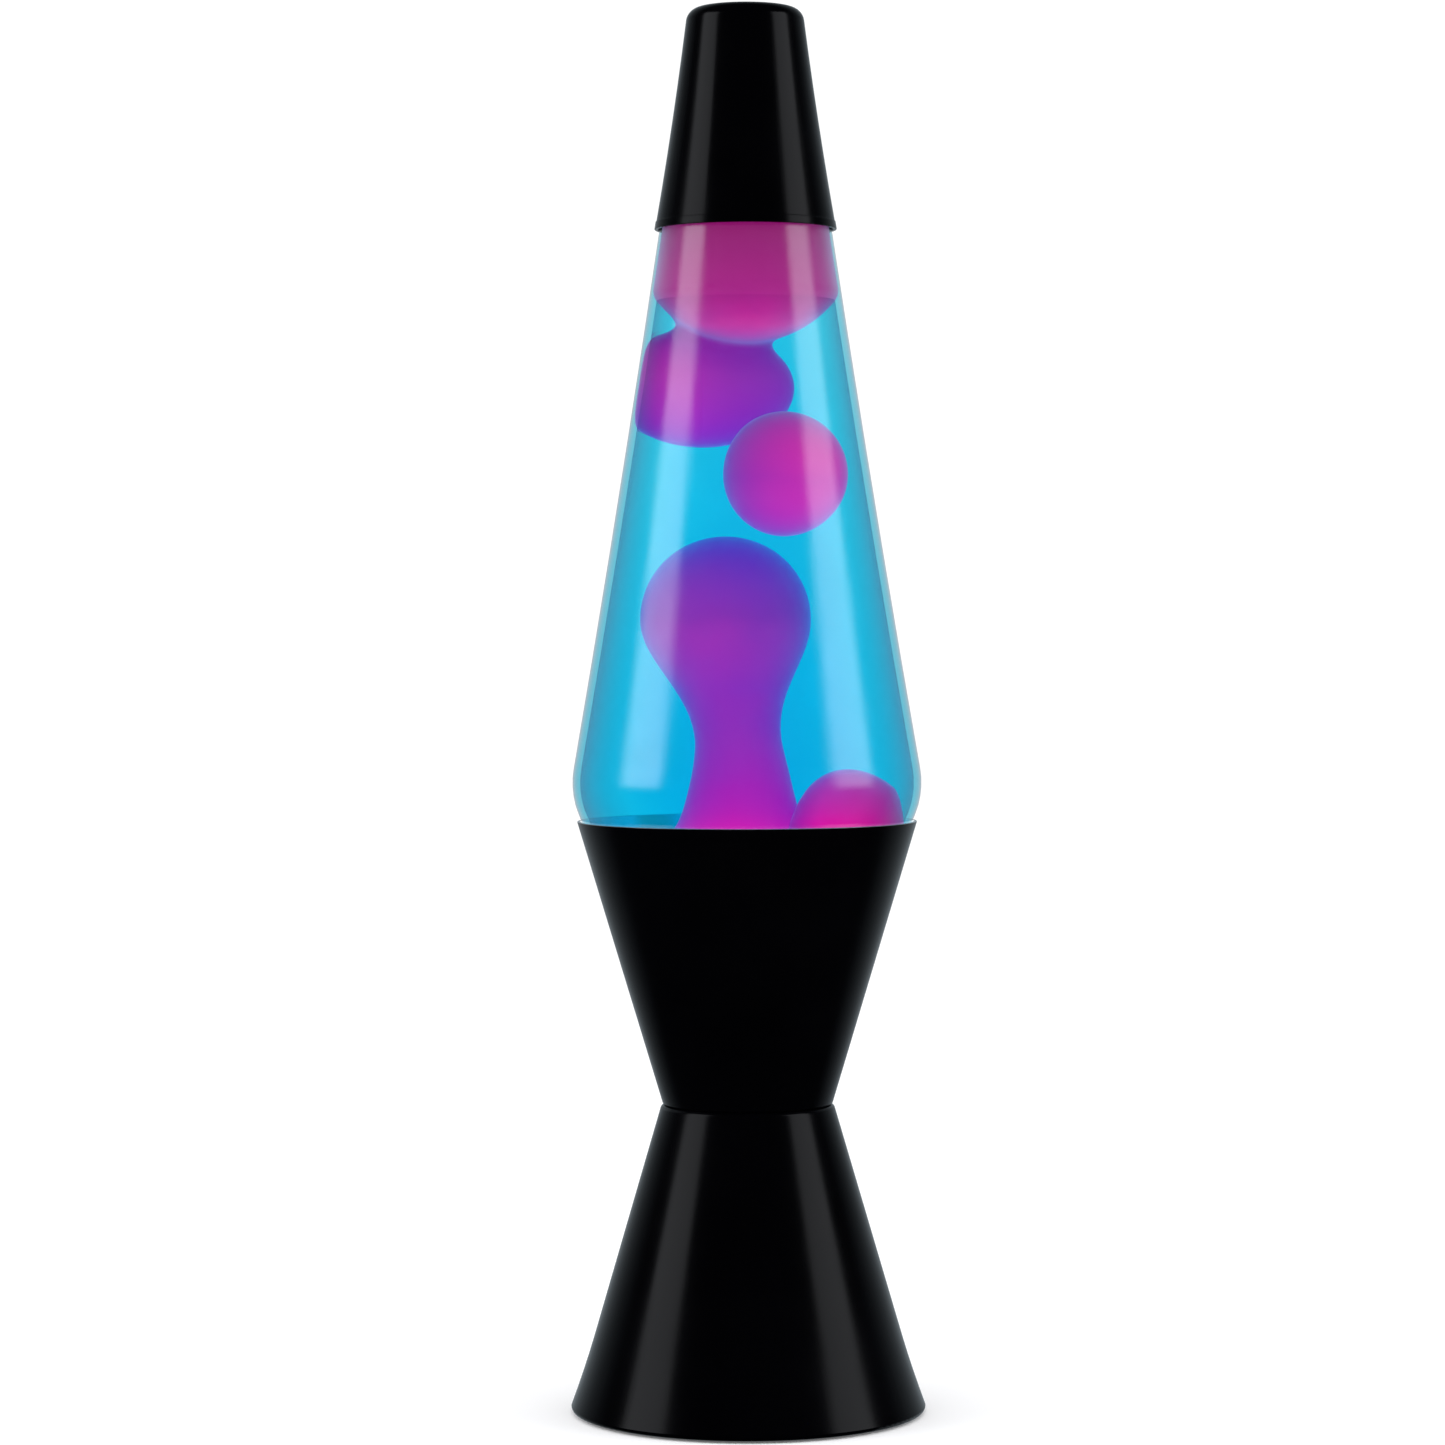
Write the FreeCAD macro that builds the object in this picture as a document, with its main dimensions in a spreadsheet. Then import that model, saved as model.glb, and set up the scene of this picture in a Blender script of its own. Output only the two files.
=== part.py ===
import FreeCAD, Part
import math
import os
import re
import Sketcher

# Lava lamp: two spun cones joined at the waist, a liquid-filled globe, a lift-off cap and a small
# screw-in lamp. Millimetres. +Z is up and the origin is on the floor under the middle of the foot.
# The cord leaves towards +Y.

# Every driving dimension: its name, its value, and what it is.
SIZES = [
    ("sheet", 1.0, "spun aluminium of the foot and the cup"),
    ("foot_radius", 46.4, "widest radius of the foot, just above the floor"),
    ("foot_height", 80.5, "top face of the foot's inward flange"),
    ("waist_step", 0.4, "how far the foot's top lip stands out past the cup"),
    ("flare_out", 6.0, "how much wider the rim is than the foot where its flare starts"),
    ("flare_height", 19.7, "height where the foot's flare starts"),
    ("foot_lift", 0.5, "the rubber feet hold the rim this far off the floor"),
    ("foot_flare", 270.0, "radius of the foot's flare"),
    ("rim_round", 1.2, "rounding of the foot's bottom rim"),
    ("lip_round", 1.3, "rounding of the foot's top lip"),
    ("hem", 2.0, "folded hem inside the foot's bottom rim"),
    ("hem_flange_height", 3.4, "underside of the flange that the cover screws to"),
    ("hem_flange_width", 6.4, "width of that flange"),
    ("waist_flange", 6.4, "width of the flanges that meet at the waist"),
    ("cup_rim_radius", 44.6, "outside of the cup at its rim"),
    ("cup_height", 74.2, "height of the cup"),
    ("cup_floor_round", 0.8, "rounding of the cup's bottom edge"),
    ("rim_soften", 0.2, "broken edge of the cup's rim"),
    ("rivet_inset", 2.8, "waist rivets, out from the edge of the waist's opening"),
    ("rivet_radius", 1.2, "rivet shank"),
    ("rivet_head_radius", 2.1, "rivet head"),
    ("rivet_face", 1.3, "flat of a rivet head"),
    ("rivet_head", 0.9, "height of a rivet head"),
    ("rivet_count", 4, "rivets through the waist"),
    ("fit_gap", 0.05, "clearance round a shank, a thread or a pressed fit"),
    ("loose_gap", 0.3, "clearance between parts that lift apart"),
    ("strap", 0.8, "steel of the socket bracket"),
    ("strap_width", 16.0, "width of the bracket's legs"),
    ("strap_ring_inset", 1.6, "bracket's ring, in from the outside of the cup"),
    ("leg_gap", 1.3, "room between the lampholder and each bracket leg"),
    ("tab_reach", 1.2, "how far the bracket's legs stand in from the waist's opening"),
    ("seat_drop", 30.5, "bracket's cross-plate, below the top of the foot"),
    ("holder_wall", 2.9, "porcelain round the screw shell"),
    ("holder_height", 29.5, "height of the lampholder"),
    ("holder_floor", 5.5, "porcelain under the contact"),
    ("holder_chamfer", 1.2, "chamfer at the lampholder's mouth"),
    ("shell_ledge", 8.0, "height of the ledge that the screw shell stands on"),
    ("ledge_width", 0.85, "how far the well's wall stands inside the thread"),
    ("shell_wall", 0.4, "brass of the screw shell"),
    ("shell_length", 17.4, "length of the screw shell"),
    ("shell_flare", 0.35, "flare of the screw shell at its mouth"),
    ("contact_strip", 0.4, "brass of the centre contact"),
    ("contact_width", 4.0, "width of the centre contact"),
    ("contact_foot", 2.5, "flat at each end of the centre contact, underneath"),
    ("contact_slope", 1.5, "run of each of its slopes"),
    ("contact_skew", 0.5, "how far a slope's top leads its underside"),
    ("contact_reach", 5.0, "half the length of the centre contact"),
    ("terminal_radius", 1.1, "terminal screw shank"),
    ("terminal_head_radius", 1.8, "terminal screw head"),
    ("terminal_head", 1.3, "height of a terminal screw head"),
    ("terminal_length", 5.0, "length of a terminal screw"),
    ("terminal_count", 2, "terminal screws"),
    ("terminal_turn", 90.0, "angle of the terminal screws round the axis"),
    ("nipple_radius", 5.0, "threaded nipple, outside"),
    ("nipple_bore", 3.6, "bore that the leads run through"),
    ("nipple_length", 12.0, "length of the nipple"),
    ("nipple_grip", 4.0, "how far the nipple screws into the porcelain"),
    ("nut_flats", 14.0, "nut across its flats"),
    ("nut_height", 3.0, "height of the nut"),
    ("nut_chamfer", 0.56, "how far the nut's bottom face reaches past its flats"),
    ("washer", 0.8, "thickness of the toothed washer"),
    ("washer_radius", 7.8, "outside of the toothed washer"),
    ("washer_teeth", 12, "teeth of the washer"),
    ("tooth_depth", 1.1, "how deep the washer's teeth are cut"),
    ("thread_pitch", 2.822, "pitch of the lamp's screw cap"),
    ("thread_radius", 8.25, "crest radius of the screw cap"),
    ("thread_depth", 0.6, "depth of the rolled thread"),
    ("thread_turns", 4, "turns rolled in the screw cap"),
    ("thread_lead", 0.12, "screw cap's plain end below its thread"),
    ("contact_rise", 1.4, "how far the centre contact stands up"),
    ("bulb_length", 59.0, "whole length of the lamp"),
    ("bulb_radius", 17.5, "widest radius of the lamp's glass"),
    ("bulb_wall", 0.6, "glass of the lamp"),
    ("bulb_joint", 51.0, "angle below the middle of the lamp's head where its neck joins"),
    ("neck_slack", 0.15, "room between the lamp's glass and its screw cap"),
    ("cap_sheet", 0.3, "brass of the lamp's screw cap"),
    ("cap_start", 3.0, "bottom of the screw cap above the lamp's tip"),
    ("cap_end", 20.0, "top of the screw cap above the lamp's tip"),
    ("neck_reach", 3.1, "how far the lamp's glass reaches down in its screw cap"),
    ("tip_radius", 2.4, "solder tip of the lamp"),
    ("tip_height", 1.0, "height of the solder tip"),
    ("tip_stalk", 1.4, "radius of the tip's stalk"),
    ("tip_face", 1.2, "flat at the bottom of the tip"),
    ("tip_bevel", 0.6, "height of the tip's bevel"),
    ("insulator_radius", 6.8, "black glass insulator, top"),
    ("insulator_foot", 3.6, "black glass insulator, bottom"),
    ("insulator_height", 2.3, "height of the insulator"),
    ("stem_slack", 0.4, "room between the stem's flare and the glass"),
    ("stem_radius", 1.9, "radius of the glass stem"),
    ("stem_length", 14.0, "length of the glass stem"),
    ("flare_length", 4.7, "height of the stem's flared foot"),
    ("lead_radius", 0.35, "lead wire in the lamp"),
    ("lead_spread", 8.0, "half the distance between the lead wires' ends"),
    ("lead_elbow", 5.6, "half the distance between the wires' elbows"),
    ("filament_height", 42.5, "filament above the lamp's tip"),
    ("filament_radius", 0.3, "coiled filament, as a rod"),
    ("filament_sag", 2.0, "how far the filament bows up"),
    ("grommet_hole", 4.6, "radius of the hole in the foot"),
    ("grommet_bore", 3.1, "radius of the hole through the grommet"),
    ("grommet_flange", 6.4, "radius of the grommet's flanges"),
    ("grommet_lip", 1.4, "thickness of a grommet flange"),
    ("cutter_reach", 4.0, "how far the cord hole's cutter runs past the wall"),
    ("grommet_slack", 0.3, "room in the grommet's groove"),
    ("cover_sheet", 1.2, "bottom cover"),
    ("vent_count", 12, "air slots in the bottom cover"),
    ("vent_width", 3.0, "width of an air slot"),
    ("vent_inner", 12.0, "where an air slot starts"),
    ("vent_outer", 26.0, "where an air slot ends"),
    ("cover_screw_count", 3, "screws that hold the cover"),
    ("cover_screw_inset", 3.4, "cover screws, in from the hem"),
    ("cover_screw_radius", 1.1, "cover screw shank"),
    ("cover_screw_head", 2.1, "radius of a cover screw's head"),
    ("cover_screw_length", 4.0, "length of a cover screw under its head"),
    ("cover_screw_crown", 1.0, "height of a cover screw's head"),
    ("cover_screw_face", 1.5, "flat of its head"),
    ("cover_screw_edge", 0.35, "edge of its head"),
    ("pad_count", 4, "rubber feet"),
    ("pad_inset", 0.5, "rubber feet, in from the hem's flange"),
    ("pad_radius", 4.5, "radius of a rubber foot"),
    ("pad_round", 0.5, "rounding of a rubber foot"),
    ("pad_turn", 45.0, "angle of the rubber feet round the axis"),
    ("glass", 2.0, "glass of the globe"),
    ("seat_depth", 25.9, "how deep the globe stands in the cup"),
    ("punt_radius", 22.0, "radius of the hollow under the globe"),
    ("punt_rise", 2.5, "height of that hollow"),
    ("heel_round", 9.0, "rounding of the globe's bottom edge"),
    ("belly_swell", 2.45, "how far the globe swells out above the cup's rim"),
    ("belly_rise", 10.0, "widest ring of the globe, above the cup's rim"),
    ("cone_step", 0.3, "how much narrower the globe is where its cone starts"),
    ("cone_rise", 13.6, "height of that ring above the cup's rim"),
    ("cone_curve", 6000.0, "radius of the cone's slight hollow"),
    ("throat_radius", 22.25, "globe where it turns in to the neck"),
    ("throat_drop", 34.0, "that ring, below the mouth"),
    ("turn_drop", 27.2, "middle of the turn, below the mouth"),
    ("turn_lean", 60.0, "slope of the globe's wall at the middle of the turn"),
    ("neck_radius", 12.2, "globe's neck"),
    ("neck_drop", 18.2, "bottom of the straight neck, below the mouth"),
    ("globe_rise", 191.3, "top of the globe's mouth above the cup's rim"),
    ("bead_out", 1.0, "bead round the mouth, out from the neck"),
    ("bead_height", 3.6, "height of that bead"),
    ("mouth_round", 0.6, "rounding of the mouth"),
    ("liner", 0.8, "sealing liner in the closure"),
    ("crown_sheet", 0.3, "tinplate of the closure"),
    ("crown_out", 1.2, "closure's skirt, out from the bead"),
    ("crown_skirt", 5.2, "height of the closure's skirt"),
    ("crown_flutes", 21, "flutes pressed in the skirt"),
    ("flute_length", 3.1, "height of a flute"),
    ("crown_bend", 0.45, "closure's metal at its bend"),
    ("flute_radius", 0.7, "radius of the cutter of one flute"),
    ("film", 0.1, "gap between the glass and what fills it"),
    ("fill_drop", 9.0, "top of the liquid, below the mouth"),
    ("coil_ring", 23.0, "heating coil, radius of its ring"),
    ("coil_radius", 3.6, "heating coil, radius of its turns"),
    ("coil_lift", 0.6, "heating coil above the glass"),
    ("pool_drop", 5.7, "top of the wax pool, below the cup's rim"),
    ("dome_across", 25.5, "wax dome, to the right of the axis"),
    ("dome_forward", 5.0, "wax dome, in front of the axis"),
    ("dome_width", 15.0, "wax dome, half its width"),
    ("dome_rise", 13.6, "top of the wax dome, above the cup's rim"),
    ("column_across", 3.5, "wax column, to the left of the axis"),
    ("column_behind", 3.0, "wax column, behind the axis"),
    ("column_foot", 17.0, "wax column, radius at the pool"),
    ("column_waist", 11.55, "wax column, radius of its waist"),
    ("column_waist_rise", 21.3, "height of that waist above the cup's rim"),
    ("head_radius", 22.4, "wax column, radius of its head"),
    ("head_rise", 52.1, "middle of the head, above the cup's rim"),
    ("head_joint", 39.0, "angle below the head's middle where the waist joins it"),
    ("ball_bearing", 53.0, "free wax ball, angle from straight ahead round to the right"),
    ("ball_room", 1.96, "room between the ball and the glass, level with its middle"),
    ("ball_rise", 90.7, "middle of the ball, above the cup's rim"),
    ("ball_radius", 16.4, "radius of the free wax ball"),
    ("blob_across", 8.7, "upper wax blob, to the left of the axis"),
    ("blob_behind", 13.0, "upper wax blob, behind the axis"),
    ("blob_up", 114.1, "middle of the blob, above the cup's rim"),
    ("blob_width", 21.5, "half its width"),
    ("blob_depth", 13.0, "half its depth"),
    ("blob_rise", 15.5, "half its height"),
    ("top_bowl", 30.3, "radius of the top wax's rounded underside"),
    ("top_drop", 35.6, "middle of that rounding, below the mouth"),
    ("top_wax_drop", 24.0, "top of the top wax, below the mouth"),
    ("cap_wall", 0.8, "spun aluminium of the cap"),
    ("cap_rim_out", 1.55, "outside of the cap's rim, out from the globe's throat"),
    ("cap_rim_drop", 2.3, "cap's rim, below the globe's throat"),
    ("cap_hem", 2.2, "height of the cap's rolled hem"),
    ("cap_hem_proud", 0.15, "how far the hem stands proud"),
    ("cap_hem_lean", 0.35, "how far the hem leans in over its height"),
    ("cap_top_out", 0.7, "outside of the cap's top corner, out from the closure"),
    ("cap_crown", 0.5, "how far the cap's top is domed"),
    ("cap_curve", 1180.0, "radius of the cap's hollow side"),
    ("cap_round", 3.9, "rounding of the cap's top corner"),
    ("cap_headroom", 22.3, "top of the cap above the globe's mouth"),
]
# Sizes and heights that follow from those: a name, its formula, and what it is.
PLACES = [
    ("holder_bore", "thread_radius + loose_gap + thread_depth + shell_wall + fit_gap", "lampholder's bore"),
    ("holder_radius", "holder_bore + holder_wall", "outside of the lampholder"),
    ("contact_well", "thread_radius - ledge_width", "well under the screw shell"),
    ("terminal_circle", "strap_width / 2 + terminal_head_radius + loose_gap", "ring of terminal screws"),
    ("leg_inside", "holder_radius + leg_gap", "inside face of each bracket leg"),
    ("waist_opening", "leg_inside + strap + tab_reach", "opening through the waist"),
    ("rivet_circle", "waist_opening + rivet_inset", "ring of waist rivets"),
    ("cup_foot_radius", "waist_opening + waist_flange", "outside of the cup at its floor"),
    ("foot_top_radius", "cup_foot_radius + waist_step", "outside of the foot's top lip"),
    ("strap_ring_radius", "cup_foot_radius - strap_ring_inset", "outside of the bracket's ring"),
    ("flare_radius", "foot_radius - flare_out", "outside of the foot where its flare starts"),
    ("hem_flange_radius", "foot_radius - hem - hem_flange_width", "opening inside the hem's flange"),
    ("cover_screw_circle", "foot_radius - hem - cover_screw_inset", "ring of cover screws"),
    ("pad_circle", "hem_flange_radius - pad_radius - pad_inset", "ring of rubber feet"),
    ("grommet_height", "flare_height + grommet_flange + rim_round", "cord hole"),
    ("grommet_groove", "sheet + grommet_flange ^ 2 / (foot_top_radius + foot_radius) + grommet_slack",
     "width of the grommet's groove, with room for the wall's bend"),
    ("seat_height", "foot_height - seat_drop", "top face of the bracket's cross-plate"),
    ("bulb_seat", "seat_height + holder_floor + contact_rise", "bottom of the lamp"),
    ("bulb_neck", "thread_radius - thread_depth - cap_sheet - neck_slack", "lamp's glass at its screw cap"),
    ("stem_flare", "bulb_neck - bulb_wall - stem_slack", "flare of the lamp's stem"),
    ("cup_rim_height", "foot_height + cup_height", "cup's rim"),
    ("globe_base", "cup_rim_height - seat_depth", "lowest ring of the globe"),
    ("globe_radius", "cup_rim_radius - sheet - loose_gap + belly_swell", "widest radius of the globe"),
    ("belly_height", "cup_rim_height + belly_rise", "widest ring of the globe"),
    ("cone_radius", "globe_radius - cone_step", "globe where its shoulder meets its cone"),
    ("cone_height", "cup_rim_height + cone_rise", "that ring"),
    ("mouth_height", "cup_rim_height + globe_rise", "top of the globe's mouth"),
    ("throat_height", "mouth_height - throat_drop", "ring where the globe turns in to the neck"),
    ("turn_radius", "(throat_radius + neck_radius) / 2", "middle of that turn"),
    ("turn_height", "mouth_height - turn_drop", "middle of that turn"),
    ("neck_height", "mouth_height - neck_drop", "bottom of the straight neck"),
    ("bead_radius", "neck_radius + bead_out", "bead round the mouth"),
    ("crown_radius", "bead_radius + crown_out", "closure's skirt"),
    ("fill_height", "mouth_height - fill_drop", "top of the liquid"),
    ("pool_height", "cup_rim_height - pool_drop", "top of the wax pool"),
    ("dome_top", "cup_rim_height + dome_rise", "top of the wax dome"),
    ("column_waist_height", "cup_rim_height + column_waist_rise", "waist of the wax column"),
    ("head_height", "cup_rim_height + head_rise", "middle of the column's head"),
    ("ball_height", "cup_rim_height + ball_rise", "middle of the free ball"),
    ("cone_slope", "(cone_radius - throat_radius) / (throat_height - cone_height)", "slope of the cone"),
    ("ball_wall", "cone_radius - (ball_height - cone_height) * cone_slope", "globe's outside, level with the ball"),
    ("ball_offset", "ball_wall - glass - ball_room - ball_radius", "middle of the ball from the axis"),
    ("ball_across", "ball_offset * sin(ball_bearing)", "ball, to the right of the axis"),
    ("ball_forward", "ball_offset * cos(ball_bearing)", "ball, in front of the axis"),
    ("blob_height", "cup_rim_height + blob_up", "middle of the upper blob"),
    ("top_middle", "mouth_height - top_drop", "middle of the top wax's rounding"),
    ("top_wax_height", "mouth_height - top_wax_drop", "top of the top wax"),
    ("cap_rim_radius", "throat_radius + cap_rim_out", "outside of the cap's rim"),
    ("cap_rim_height", "throat_height - cap_rim_drop", "cap's rim"),
    ("cap_top_radius", "crown_radius + cap_top_out", "outside of the cap's top corner"),
    ("lamp_height", "mouth_height + cap_headroom", "top of the cap"),
    ("cap_shoulder_height", "lamp_height - cap_crown", "cap's top corner"),
]
NAMES = {name for name, _, _ in SIZES}
FOLLOWING = {name: text for name, text, _ in PLACES}

doc = FreeCAD.newDocument("LavaLamp")
sheet = doc.addObject("Spreadsheet::Sheet", "Sizes")
parts = []


def fill_sheet():
    """Write each dimension's note, name and value in its own row, and give the value its name."""
    for row, (name, number, note) in enumerate(SIZES, start=1):
        sheet.set("A%d" % row, note)
        sheet.set("B%d" % row, name)
        sheet.set("C%d" % row, str(number))
        sheet.setAlias("C%d" % row, name)
    doc.recompute()


def formula(text):
    """A formula in this file's names, written as FreeCAD reads it."""
    def spell(word):
        if word[0] in FOLLOWING:
            return "(" + formula(FOLLOWING[word[0]]) + ")"
        return "Sizes." + word[0] if word[0] in NAMES else word[0]
    return re.sub(r"[a-z_]+", spell, str(text))


def value(text):
    """What a formula in the sheet's names comes to."""
    return float(sheet.evalExpression(formula(text)))


def bind(thing, **settings):
    """Bind each property of a thing to a formula. Two underscores stand for a dot."""
    for name, text in settings.items():
        thing.setExpression(name.replace("__", "."), formula(text))


def finish(thing, label):
    """Give a finished piece its label and put it on the list of pieces."""
    thing.Label = label
    parts.append(thing)
    return thing


def place(thing, across="0", along="0", up="0"):
    """Bind where a thing stands."""
    bind(thing, Placement__Base__x=across, Placement__Base__y=along, Placement__Base__z=up)
    return thing


def swing(thing, angle):
    """Turn a thing about the upright axis by a bound angle."""
    thing.Placement.Rotation = FreeCAD.Rotation(FreeCAD.Vector(0, 0, 1), value(angle))
    bind(thing, Placement__Rotation__Angle=angle)
    return thing


def block(name, length, width, height, across, along, up):
    """A box with every size and its corner bound."""
    box = doc.addObject("Part::Box", name)
    bind(box, Length=length, Width=width, Height=height)
    return place(box, across, along, up)


def cylinder(name, radius, height, across="0", along="0", up="0"):
    """An upright cylinder with its sizes and its foot bound."""
    round_bar = doc.addObject("Part::Cylinder", name)
    bind(round_bar, Radius=radius, Height=height)
    return place(round_bar, across, along, up)


def sphere(name, radius, across, along, up):
    """A ball with its size and its middle bound."""
    ball = doc.addObject("Part::Sphere", name)
    bind(ball, Radius=radius)
    return place(ball, across, along, up)


def ellipsoid(name, width, depth, rise, across, along, up):
    """A ball stretched along each axis, with its middle bound."""
    egg = doc.addObject("Part::Ellipsoid", name)
    bind(egg, Radius1=rise, Radius2=width, Radius3=depth)
    return place(egg, across, along, up)


def cut(name, base, tool):
    """One thing less another."""
    result = doc.addObject("Part::Cut", name)
    result.Base = base
    result.Tool = tool
    return result


def fuse(name, things):
    """Several things as one solid."""
    result = doc.addObject("Part::MultiFuse", name)
    result.Shapes = things
    result.Refine = True
    return result


def common(name, things):
    """What several things share."""
    result = doc.addObject("Part::MultiCommon", name)
    result.Shapes = things
    return result


def origin_part(body, role):
    """One of a body's own origin planes or axes."""
    return next(part for part in body.Origin.OriginFeatures if part.Role == role)


def new_sketch(body, name, plane):
    """An empty sketch on one of the body's origin planes."""
    sketch = body.newObject("Sketcher::SketchObject", name)
    sketch.AttachmentSupport = [(origin_part(body, plane), "")]
    sketch.MapMode = "FlatFace"
    return sketch


def arc_through(start, end, radius, turn):
    """The arc from start to end, its radius and its turn given: +1 bends left, -1 bends right."""
    half = (end - start) * 0.5
    reach = math.sqrt(max(radius ** 2 - half.Length ** 2, 0.0))
    sideways = FreeCAD.Vector(-half.y, half.x, 0).normalize() * turn
    middle = start + half + sideways * reach
    first, last = (start, end) if turn > 0 else (end, start)
    angles = [math.atan2(point.y - middle.y, point.x - middle.x) for point in (first, last)]
    return Part.ArcOfCircle(Part.Circle(middle, FreeCAD.Vector(0, 0, 1), radius), *angles)


def smooth_arc(start, end, heading):
    """The arc from start to end that leaves along heading: its radius, its turn and its last heading."""
    chord = end - start
    side = heading.x * chord.y - heading.y * chord.x
    turn = 1 if side > 0 else -1
    off = heading.getAngle(chord)
    radius = chord.Length / (2 * math.sin(off))
    angle = math.atan2(heading.y, heading.x) + 2 * off * turn
    return radius, turn, FreeCAD.Vector(math.cos(angle), math.sin(angle), 0)


def pin_point(sketch, piece, corner, step, number):
    """Hold a corner of the outline at its two formulas."""
    for way, text, axis in (("X", step[0], -2), ("Y", step[1], -1)):
        if str(text) == "0":
            sketch.addConstraint(Sketcher.Constraint("PointOnObject", piece, corner, axis))
            continue
        rule = Sketcher.Constraint("Distance" + way, -1, 1, piece, corner, value(text))
        index = sketch.addConstraint(rule)
        sketch.renameConstraint(index, "corner_%d_%s" % (number, way))
        bind(sketch, **{"Constraints__corner_%d_%s" % (number, way): text})


def outline(body, name, steps, plane="XZ_Plane"):
    """A closed outline. Each step is the corner where a side ends: (across, up) ends a straight side,
    (across, up, "smooth") an arc that leaves the side before it with no corner, and
    (across, up, radius, turn) an arc of that radius. The outline starts at the last step's corner."""
    sketch = new_sketch(body, name, plane)
    corners = [FreeCAD.Vector(value(step[0]), value(step[1]), 0) for step in steps]
    ends = []
    heading = None
    for number, step in enumerate(steps):
        start, end = corners[number - 1], corners[number]
        if len(step) == 2:
            sketch.addGeometry(Part.LineSegment(start, end), False)
            ends.append((1, 2))
            heading = end - start
        elif len(step) == 3:
            radius, turn, heading = smooth_arc(start, end, heading)
            sketch.addGeometry(arc_through(start, end, radius, turn), False)
            ends.append((1, 2) if turn > 0 else (2, 1))
        else:
            radius, turn = value(step[2]), step[3]
            arc = arc_through(start, end, radius, turn)
            sketch.addGeometry(arc, False)
            ends.append((1, 2) if turn > 0 else (2, 1))
            spoke = end - arc.Center
            heading = FreeCAD.Vector(-spoke.y, spoke.x, 0) * turn
    for number, step in enumerate(steps):
        before = (number - 1) % len(steps)
        kind = "Tangent" if len(step) == 3 else "Coincident"
        sketch.addConstraint(Sketcher.Constraint(kind, before, ends[before][1], number, ends[number][0]))
        pin_point(sketch, number, ends[number][1], step, number)
        if len(step) == 4:
            index = sketch.addConstraint(Sketcher.Constraint("Radius", number, value(step[2])))
            sketch.renameConstraint(index, "bend_%d" % number)
            bind(sketch, **{"Constraints__bend_%d" % number: step[2]})
    return sketch


def turned(name, steps, across="0"):
    """A body turned from an outline about an upright axis that stands that far across."""
    body = doc.addObject("PartDesign::Body", name)
    sketch = outline(body, name + "_outline", steps)
    bind(sketch, **{".AttachmentOffset__Base__x": across})
    turning = body.newObject("PartDesign::Revolution", name + "_turning")
    turning.Profile = sketch
    turning.ReferenceAxis = (sketch, ["V_Axis"])
    turning.Angle = 360
    doc.recompute()
    return body


def round_rings(body, name, rings, radius):
    """Round the circular edges that lie at the given radii and heights."""
    base = body.Tip
    found = []
    for across, up in rings:
        for number, edge in enumerate(base.Shape.Edges, start=1):
            if edge.Degenerated or not isinstance(edge.Curve, Part.Circle):
                continue
            near = abs(edge.Curve.Radius - value(across)) + abs(edge.Curve.Center.z - value(up))
            if near < 0.001:
                found.append("Edge%d" % number)
    if len(found) != len(rings):
        raise RuntimeError("%s: found %d of %d edges" % (name, len(found), len(rings)))
    fillet = body.newObject("PartDesign::Fillet", name)
    fillet.Base = (base, found)
    bind(fillet, Radius=radius)
    doc.recompute()


def repeated(body, name, count):
    """Repeat the body's last feature round the upright axis."""
    feature = body.Tip
    pattern = body.newObject("PartDesign::PolarPattern", name)
    pattern.Originals = [feature]
    pattern.Axis = (origin_part(body, "Z_Axis"), [""])
    pattern.Angle = 360
    bind(pattern, Occurrences=count)
    body.Tip = pattern
    doc.recompute()


def drilled(body, name, radius, circle, top, depth, count="1", start="0"):
    """Drill straight down from a height: one hole on a circle, repeated round it. Start is an angle."""
    before = body.Shape.Volume
    sketch = new_sketch(body, name + "_mark", "XY_Plane")
    bind(sketch, **{".AttachmentOffset__Base__z": top})
    angle = math.radians(value(start))
    spot = FreeCAD.Vector(value(circle) * math.cos(angle), value(circle) * math.sin(angle), 0)
    sketch.addGeometry(Part.Circle(spot, FreeCAD.Vector(0, 0, 1), value(radius)), False)
    sketch.addConstraint(Sketcher.Constraint("Radius", 0, value(radius)))
    sketch.renameConstraint(0, "hole")
    bind(sketch, Constraints__hole=radius)
    step = ("(%s) * cos(%s)" % (circle, start), "(%s) * sin(%s)" % (circle, start))
    if abs(spot.y) < 0.001:
        step = (circle, "0")
    if abs(spot.x) < 0.001:
        step = ("0", circle)
    pin_point(sketch, 0, 3, step, 0)
    hole = body.newObject("PartDesign::Pocket", name)
    hole.Profile = sketch
    bind(hole, Length=depth)
    doc.recompute()
    if value(count) > 1:
        repeated(body, name + "_ring", count)
    if body.Shape.Volume >= before:
        raise RuntimeError(name + " removes nothing")


def cup_outside(up):
    """Outside radius of the cup's cone at a height."""
    run = "(cup_rim_radius - cup_foot_radius) / (cup_rim_height - foot_height)"
    return "cup_foot_radius + (%s - foot_height) * %s" % (up, run)


def foot_outside(up):
    """Outside radius of the foot's straight cone at a height."""
    run = "(flare_radius - foot_top_radius) / (foot_height - flare_height)"
    return "foot_top_radius + (foot_height - (%s)) * %s" % (up, run)


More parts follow.
